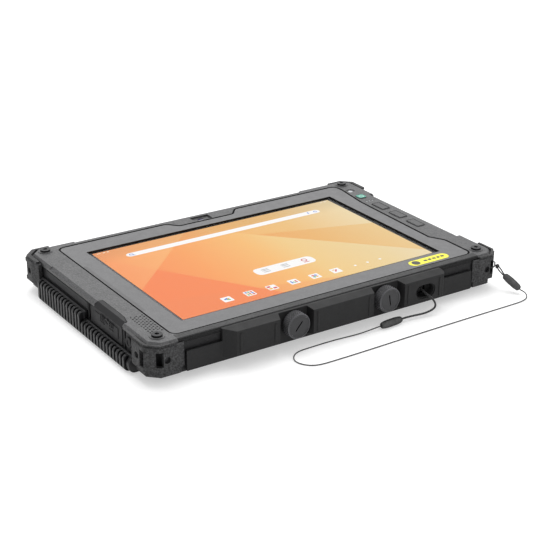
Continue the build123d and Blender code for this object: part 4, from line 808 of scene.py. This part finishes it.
# Loop round the lanyard post, its knot, and the two strands down to the cord lock
POST = np.array((116.42, -72.62, 14.0))
OUTWARD = np.array((1.0, -1.0, 0.0)) / math.sqrt(2)
ALONG = np.array((1.0, 1.0, 0.0)) / math.sqrt(2)
LOOP_LENGTH, LOOP_WIDTH, LOOP_CORNER_R, LOOP_RISE = 9.4, 4.6, 2.0, 0.25
KNOT_TURN_STEPS = 36
ring = [POST + ALONG * a + OUTWARD * b + np.array((0, 0, LOOP_RISE * b / 2.2))
        for a, b in rounded_rectangle(0, 0, LOOP_LENGTH, LOOP_WIDTH, LOOP_CORNER_R, steps=8)]
loop_path = []
for here, there in zip(ring, ring[1:] + ring[:1]):
    pieces = max(1, int(np.linalg.norm(there - here) / 0.35))
    loop_path += [here + (there - here) * i / pieces for i in range(pieces)]
post_loop = rope("twisted_post_loop", np.array(loop_path), LOOP_CORD_R, "case", closed=True)
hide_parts("post_loop")
knot = POST + OUTWARD * 3.2
down = POST_LOCK[0] - knot
down /= np.linalg.norm(down)
across = np.cross(down, (0, 0, 1))
across /= np.linalg.norm(across)
upward = np.cross(across, down)
for index, (shift, lean) in enumerate(((0.2, 0.3), (1.3, -0.35))):
    turn_path = [knot + down * shift + across * 1.25 * math.cos(t)
                 + (upward + down * lean) * 0.85 * math.sin(t)
                 for t in np.arange(KNOT_TURN_STEPS) * 2 * math.pi / KNOT_TURN_STEPS]
    rope(f"knot_turn_{index + 1}", np.array(turn_path), LOOP_CORD_R, "case", closed=True)
for index, way in enumerate((-1, 1)):
    strand_path = smooth_path(
        [knot + across * way * 0.5 - OUTWARD * 0.6, knot + across * way * 0.75 + down * 1.6,
         knot + across * way * 1.0 + down * 3.6, POST_LOCK[0] + across * way * 0.45 + down * 0.5],
        down, down, 0.3)
    rope(f"post_strand_{index + 1}", strand_path, LOOP_CORD_R, "case")

# ------------------------------------------------------------------ picture on the screen
picture_z = box_mm("display_panel")[1].z
LAYER = 0.03  # thickness of each layer of the picture
TOOLBAR_Y = 40.6
STATUS_Y = 52.0
ICON = 6.2
ICON_Y = -44.4
ICON_XS = [-52.6 + 14.8 * i for i in range(6)]
PAGE_MARK_XS = (35.4, 44.4, 53.6)
PAPER = display_color(251, 250, 249)
BLUE = display_color(86, 128, 214)
RED = display_color(214, 92, 96)
GREEN = display_color(92, 178, 116)
AMBER = display_color(240, 184, 84)
GREY = display_color(176, 176, 178)


def graphic(name, outlines, color, layer):
    """Glowing shapes in one colour, on one of the picture's layers."""
    plates(name, outlines, picture_z + LAYER * layer, LAYER, lit(name, color, SCREEN_GLOW),
           "case")


def icon_bar(icon, dx, dy, length, width, turn=0.0):
    """Bar on an icon's tile, placed from the tile's middle."""
    return bar(ICON_XS[icon] + dx, ICON_Y + dy, length, width, turn)


def icon_dot(icon, dx, dy, radius=0.7):
    """Dot on an icon's tile, placed from the tile's middle."""
    return disc(ICON_XS[icon] + dx, ICON_Y + dy, radius)


plates("wallpaper", [rounded_rectangle(0, 0, *PICTURE, 0.4)], picture_z, LAYER,
       wallpaper("wallpaper", SCREEN_GLOW), "case")
graphic("search_field", [rounded_rectangle(0, TOOLBAR_Y, 140.0, 5.2, 2.6)], PAPER, 1)
graphic("search_dot", [arc_band(-66.8, TOOLBAR_Y, 1.1, 0.5, 0, 355),
                       bar(-65.6, TOOLBAR_Y - 1.3, 1.5, 0.5, -45)], BLUE, 2)
graphic("search_marks", [rounded_rectangle(61.3, TOOLBAR_Y + 0.2, 0.9, 2.2, 0.45),
                         arc_band(66.8, TOOLBAR_Y, 1.0, 0.5, 20, 340)], BLUE, 2)
graphic("widget_card", [rounded_rectangle(0.6, -22.3, 41.0, 9.4, 3.4)], PAPER, 1)
graphic("widget_glyphs", [bar(x, y, 4.6, 0.7) for x in (-12.7, 0.9) for y in (-20.6, -22.2, -24.2)],
        GREY, 2)
graphic("widget_badge", [arc_band(14.8, -21.6, 1.6, 0.7, 0, 350), bar(14.8, -24.6, 4.0, 0.6)],
        tinted(RED, 0.9), 2)
graphic("icon_tiles", [rounded_rectangle(x, ICON_Y, ICON, ICON, 0.5) for x in ICON_XS], PAPER, 1)
graphic("page_marks", [disc(x, ICON_Y, 0.85) for x in PAGE_MARK_XS], PAPER, 1)
graphic("status_marks", [bar(x, STATUS_Y, length, width) for x, length, width in (
    (-82.6, 2.4, 0.6), (-79.2, 1.6, 0.9), (-76.6, 1.2, 1.2), (79.6, 1.6, 0.9), (82.6, 1.6, 1.2))],
        display_color(238, 226, 206), 1)
graphic("icon_blue", [
    icon_bar(0, -0.5, 0.5, 2.6, 1.2, 25), icon_dot(1, -1.7, 1.7), icon_dot(1, 1.7, 0),
    icon_bar(3, -1.5, -0.2, 0.9, 3.0), icon_bar(4, 0.9, 0.9, 1.5, 1.5, 45)], BLUE, 2)
graphic("icon_green", [
    icon_bar(0, 0.6, -0.8, 2.2, 1.0, -25), icon_dot(1, 0, 1.7), icon_dot(1, -1.7, -1.7),
    icon_bar(3, 0, -0.8, 0.9, 2.0, 40), icon_bar(4, -0.9, -0.9, 1.5, 1.5, 45)], GREEN, 2)
graphic("icon_red", [
    icon_dot(1, 1.7, 1.7), icon_dot(1, 1.7, -1.7, 0.8), icon_dot(1, 0, 0),
    icon_bar(2, -1.5, 1.3, 2.2, 1.8), icon_bar(2, 1.4, -1.3, 2.2, 1.8),
    icon_bar(3, 1.5, -0.2, 0.9, 3.0), icon_bar(4, -0.9, 0.9, 1.5, 1.5, 45),
    icon_bar(5, 0, 0, 3.2, 0.9, 50)], RED, 2)
graphic("icon_amber", [
    icon_bar(0, 0.9, 0.4, 1.4, 1.1, 25), icon_dot(1, -1.7, 0), icon_dot(1, 0, -1.7),
    icon_bar(2, -1.5, -1.3, 2.2, 1.8), icon_bar(4, 0.9, -0.9, 1.5, 1.5, 45),
    icon_bar(5, -1.0, 1.2, 1.6, 1.0)], AMBER, 2)

# ------------------------------------------------------------------ label, key mark, door relief
PRINT = 0.03  # thickness of a printed mark
LINE_HEIGHT = 0.02
LABEL = (75.0, -63.4)
LABEL_SIZE = (28.6, 7.0)
LABEL_THICKNESS = 0.08
PATCH_THICKNESS = 0.06
overlay_top = overlay_high.z


def outer_edge(node):
    """Points along the outer edge of a flat CAD node's top face, in order."""
    mesh = NODES[node].data
    top = max(vertex.co.z for vertex in mesh.vertices)
    sides = {}
    for polygon in mesh.polygons:
        if polygon.normal.z > 0.9 and abs(polygon.center.z - top) < 0.05 * MM:
            places = [mesh.vertices[index].co for index in polygon.vertices]
            keys = [(round(co.x / MM, 3), round(co.y / MM, 3)) for co in places]
            sides.update(dict.fromkeys(zip(keys, keys[1:] + keys[:1])))
    follow = {here: there for here, there in sides if (there, here) not in sides}
    start = min(follow)
    loop = [start]
    while follow[loop[-1]] != start:
        loop.append(follow[loop[-1]])
    return loop


def gap_shade_band(name, loop, width, z, body):
    """Raised dark line just inside a counterclockwise loop: painted shade of the gap round a part."""
    count = len(loop)
    inner = []
    for i, (x, y) in enumerate(loop):
        ax, ay = loop[i - 1]
        bx, by = loop[(i + 1) % count]
        length = math.hypot(bx - ax, by - ay)
        inner.append((x - width * (by - ay) / length, y + width * (bx - ax) / length))
    verts = []
    for level in (z, z + LINE_HEIGHT):
        verts += [(x, y, level) for x, y in loop] + [(x, y, level) for x, y in inner]
    faces = []
    for i in range(count):
        j = (i + 1) % count
        a, b = 2 * count, 3 * count
        faces += [(a + i, a + j, b + j, b + i), (count + i, count + j, j, i),
                  (i, j, a + j, a + i), (count + j, count + i, b + i, b + j)]
    to_object(name, verts, faces, gap_shade_black, body, smooth=False)


# Black lines of painted shade along the gap round the overlay and round each key
gap_shade_black = moulded("gap_shade_black", (0.004, 0.004, 0.004), 0.9, 0.5, 0.01, wear=0.0, spec=0.03)
gap_shade_band("overlay_gap_shade_line", outer_edge("display_overlay"), 0.65, overlay_top, "case")
for key in ("power_key", "function_key_1", "function_key_2", "function_key_3"):
    gap_shade_band(f"{key}_gap_shade_line", outer_edge(key), 0.4, box_mm(key)[1].z, key)

# Oval label with a dot and five dashes
label_x, label_y = LABEL
plates("oval_label", [rounded_rectangle(*LABEL, *LABEL_SIZE, LABEL_SIZE[1] / 2, steps=10)], overlay_top,
       LABEL_THICKNESS, painted_label("label_yellow", (0.80, 0.74, 0.02)), "case")
dashes = [bar(label_x - 2.5 + 3.2 * i, label_y, 2.3, 1.9, 12 if i % 2 else -8) for i in range(5)]
plates("label_marks", [disc(label_x - 9.6, label_y, 2.7), *dashes], overlay_top + LABEL_THICKNESS, PRINT,
       painted_label("label_ink", (0.02, 0.02, 0.01)), "case")

# Power mark on a green patch
key_low, key_high = box_mm("power_key")
key_x = (key_low.x + key_high.x) / 2
key_y = (key_low.y + key_high.y) / 2
plates("power_patch", [rounded_rectangle(key_x, key_y, 5.6, 5.6, 1.4)], key_high.z, PATCH_THICKNESS,
       painted_label("patch_green", (0.03, 0.26, 0.19)), "power_key")
plates("power_mark", [arc_band(key_x, key_y - 0.2, 1.5, 0.45, -240, 60), bar(key_x, key_y + 1.2, 0.45, 1.6)],
       key_high.z + PATCH_THICKNESS, PRINT, painted_label("mark_pale", (0.4, 0.6, 0.52)), "power_key")

# Raised marks on the lower port door: two groups of three bars, a ring and two strokes
door_low, door_high = box_mm("lower_port_door")
door_face = (door_low.x + 0.02, (door_low.y + door_high.y) / 2, (door_low.z + door_high.z) / 2)
relief = []
for i in range(3):
    relief.append(bar(-5.4 + 1.8 * i, 0.8, 0.7, 3.4))
    relief.append(bar(5.2 + 1.8 * i, 0.6, 0.7, 2.8))
relief += [bar(-3.6, -2.0, 5.0, 0.7), arc_band(2.0, 0.8, 1.4, 0.6, 40, 320), bar(7.0, -2.2, 4.2, 0.7)]
reliefs("door_relief", relief, door_face, (0, -1, 0), (0, 0, 1), 0.35, MATERIALS["door_rubber"],
        "lower_port_door")

# ------------------------------------------------------------------ studio, in metres
FLOOR_REACH = 9.0
FLOOR_GLOW = 0.45
floor_mesh = bpy.data.meshes.new("floor")
floor_corners = [(FLOOR_REACH * x, FLOOR_REACH * y, 0) for x, y in ((-1, -1), (1, -1), (1, 1), (-1, 1))]
floor_mesh.from_pydata(floor_corners, [], [(0, 1, 2, 3)])
floor = bpy.data.objects.new("floor", floor_mesh)
bpy.context.scene.collection.objects.link(floor)
paper = Shader("studio_floor")
paper_tone = paper.mix(paper.range(paper.noise(size=60.0), 0.3, 0.7, 0.0, 0.05),
                       (0.62, 0.62, 0.62), (0.60, 0.60, 0.60))
floor_mesh.materials.append(paper.surface(color=paper_tone, rough=0.9, spec=0.05, glow=(1.0, 1.0, 1.0),
                                          glow_strength=FLOOR_GLOW))

# White all round, dimmer on the left
world = bpy.data.worlds.new("studio")
bpy.context.scene.world = world
world.use_nodes = True
sky = world.node_tree.nodes["Background"]
sky.inputs["Color"].default_value = (1, 1, 1, 1)
direction = world.node_tree.nodes.new("ShaderNodeTexCoord")
split = world.node_tree.nodes.new("ShaderNodeSeparateXYZ")
dimmer = world.node_tree.nodes.new("ShaderNodeMapRange")
world.node_tree.links.new(direction.outputs["Generated"], split.inputs[0])
world.node_tree.links.new(split.outputs["X"], dimmer.inputs["Value"])
world.node_tree.links.new(dimmer.outputs["Result"], sky.inputs["Strength"])
for socket, value in (("From Min", -0.9), ("From Max", 0.1), ("To Min", 0.3), ("To Max", 0.9)):
    dimmer.inputs[socket].default_value = value


def softbox(name, place, size, power):
    """Rectangular light aimed at the middle of the tablet, with its power in watts."""
    data = bpy.data.lights.new(name, "AREA")
    data.shape = "RECTANGLE"
    data.size, data.size_y = size
    data.energy = power
    light = bpy.data.objects.new(name, data)
    bpy.context.scene.collection.objects.link(light)
    light.location = place
    light.rotation_euler = (-Vector(place)).to_track_quat("-Z", "Y").to_euler()


softbox("key_light", (0.2, 0.5, 1.6), (1.6, 1.2), 26.0)
softbox("back_light", (0.7, 1.6, 0.9), (1.8, 0.9), 4.0)

CAMERA_PLACE = (-0.40162, -0.61043, 0.32593)
CAMERA_HEADING = -33.914
CAMERA_PITCH = -23.519
CAMERA_ROLL = 0.467
camera_data = bpy.data.cameras.new("camera")
camera_data.sensor_width = 36.0
camera_data.lens = 86.87
camera_data.clip_start = 0.01
camera = bpy.data.objects.new("camera", camera_data)
bpy.context.scene.collection.objects.link(camera)
camera.matrix_world = (Matrix.Translation(CAMERA_PLACE)
                       @ Matrix.Rotation(math.radians(CAMERA_HEADING), 4, "Z")
                       @ Matrix.Rotation(math.radians(90 + CAMERA_PITCH), 4, "X")
                       @ Matrix.Rotation(math.radians(CAMERA_ROLL), 4, "Z"))
bpy.context.scene.camera = camera
bpy.context.scene.view_settings.view_transform = "Standard"
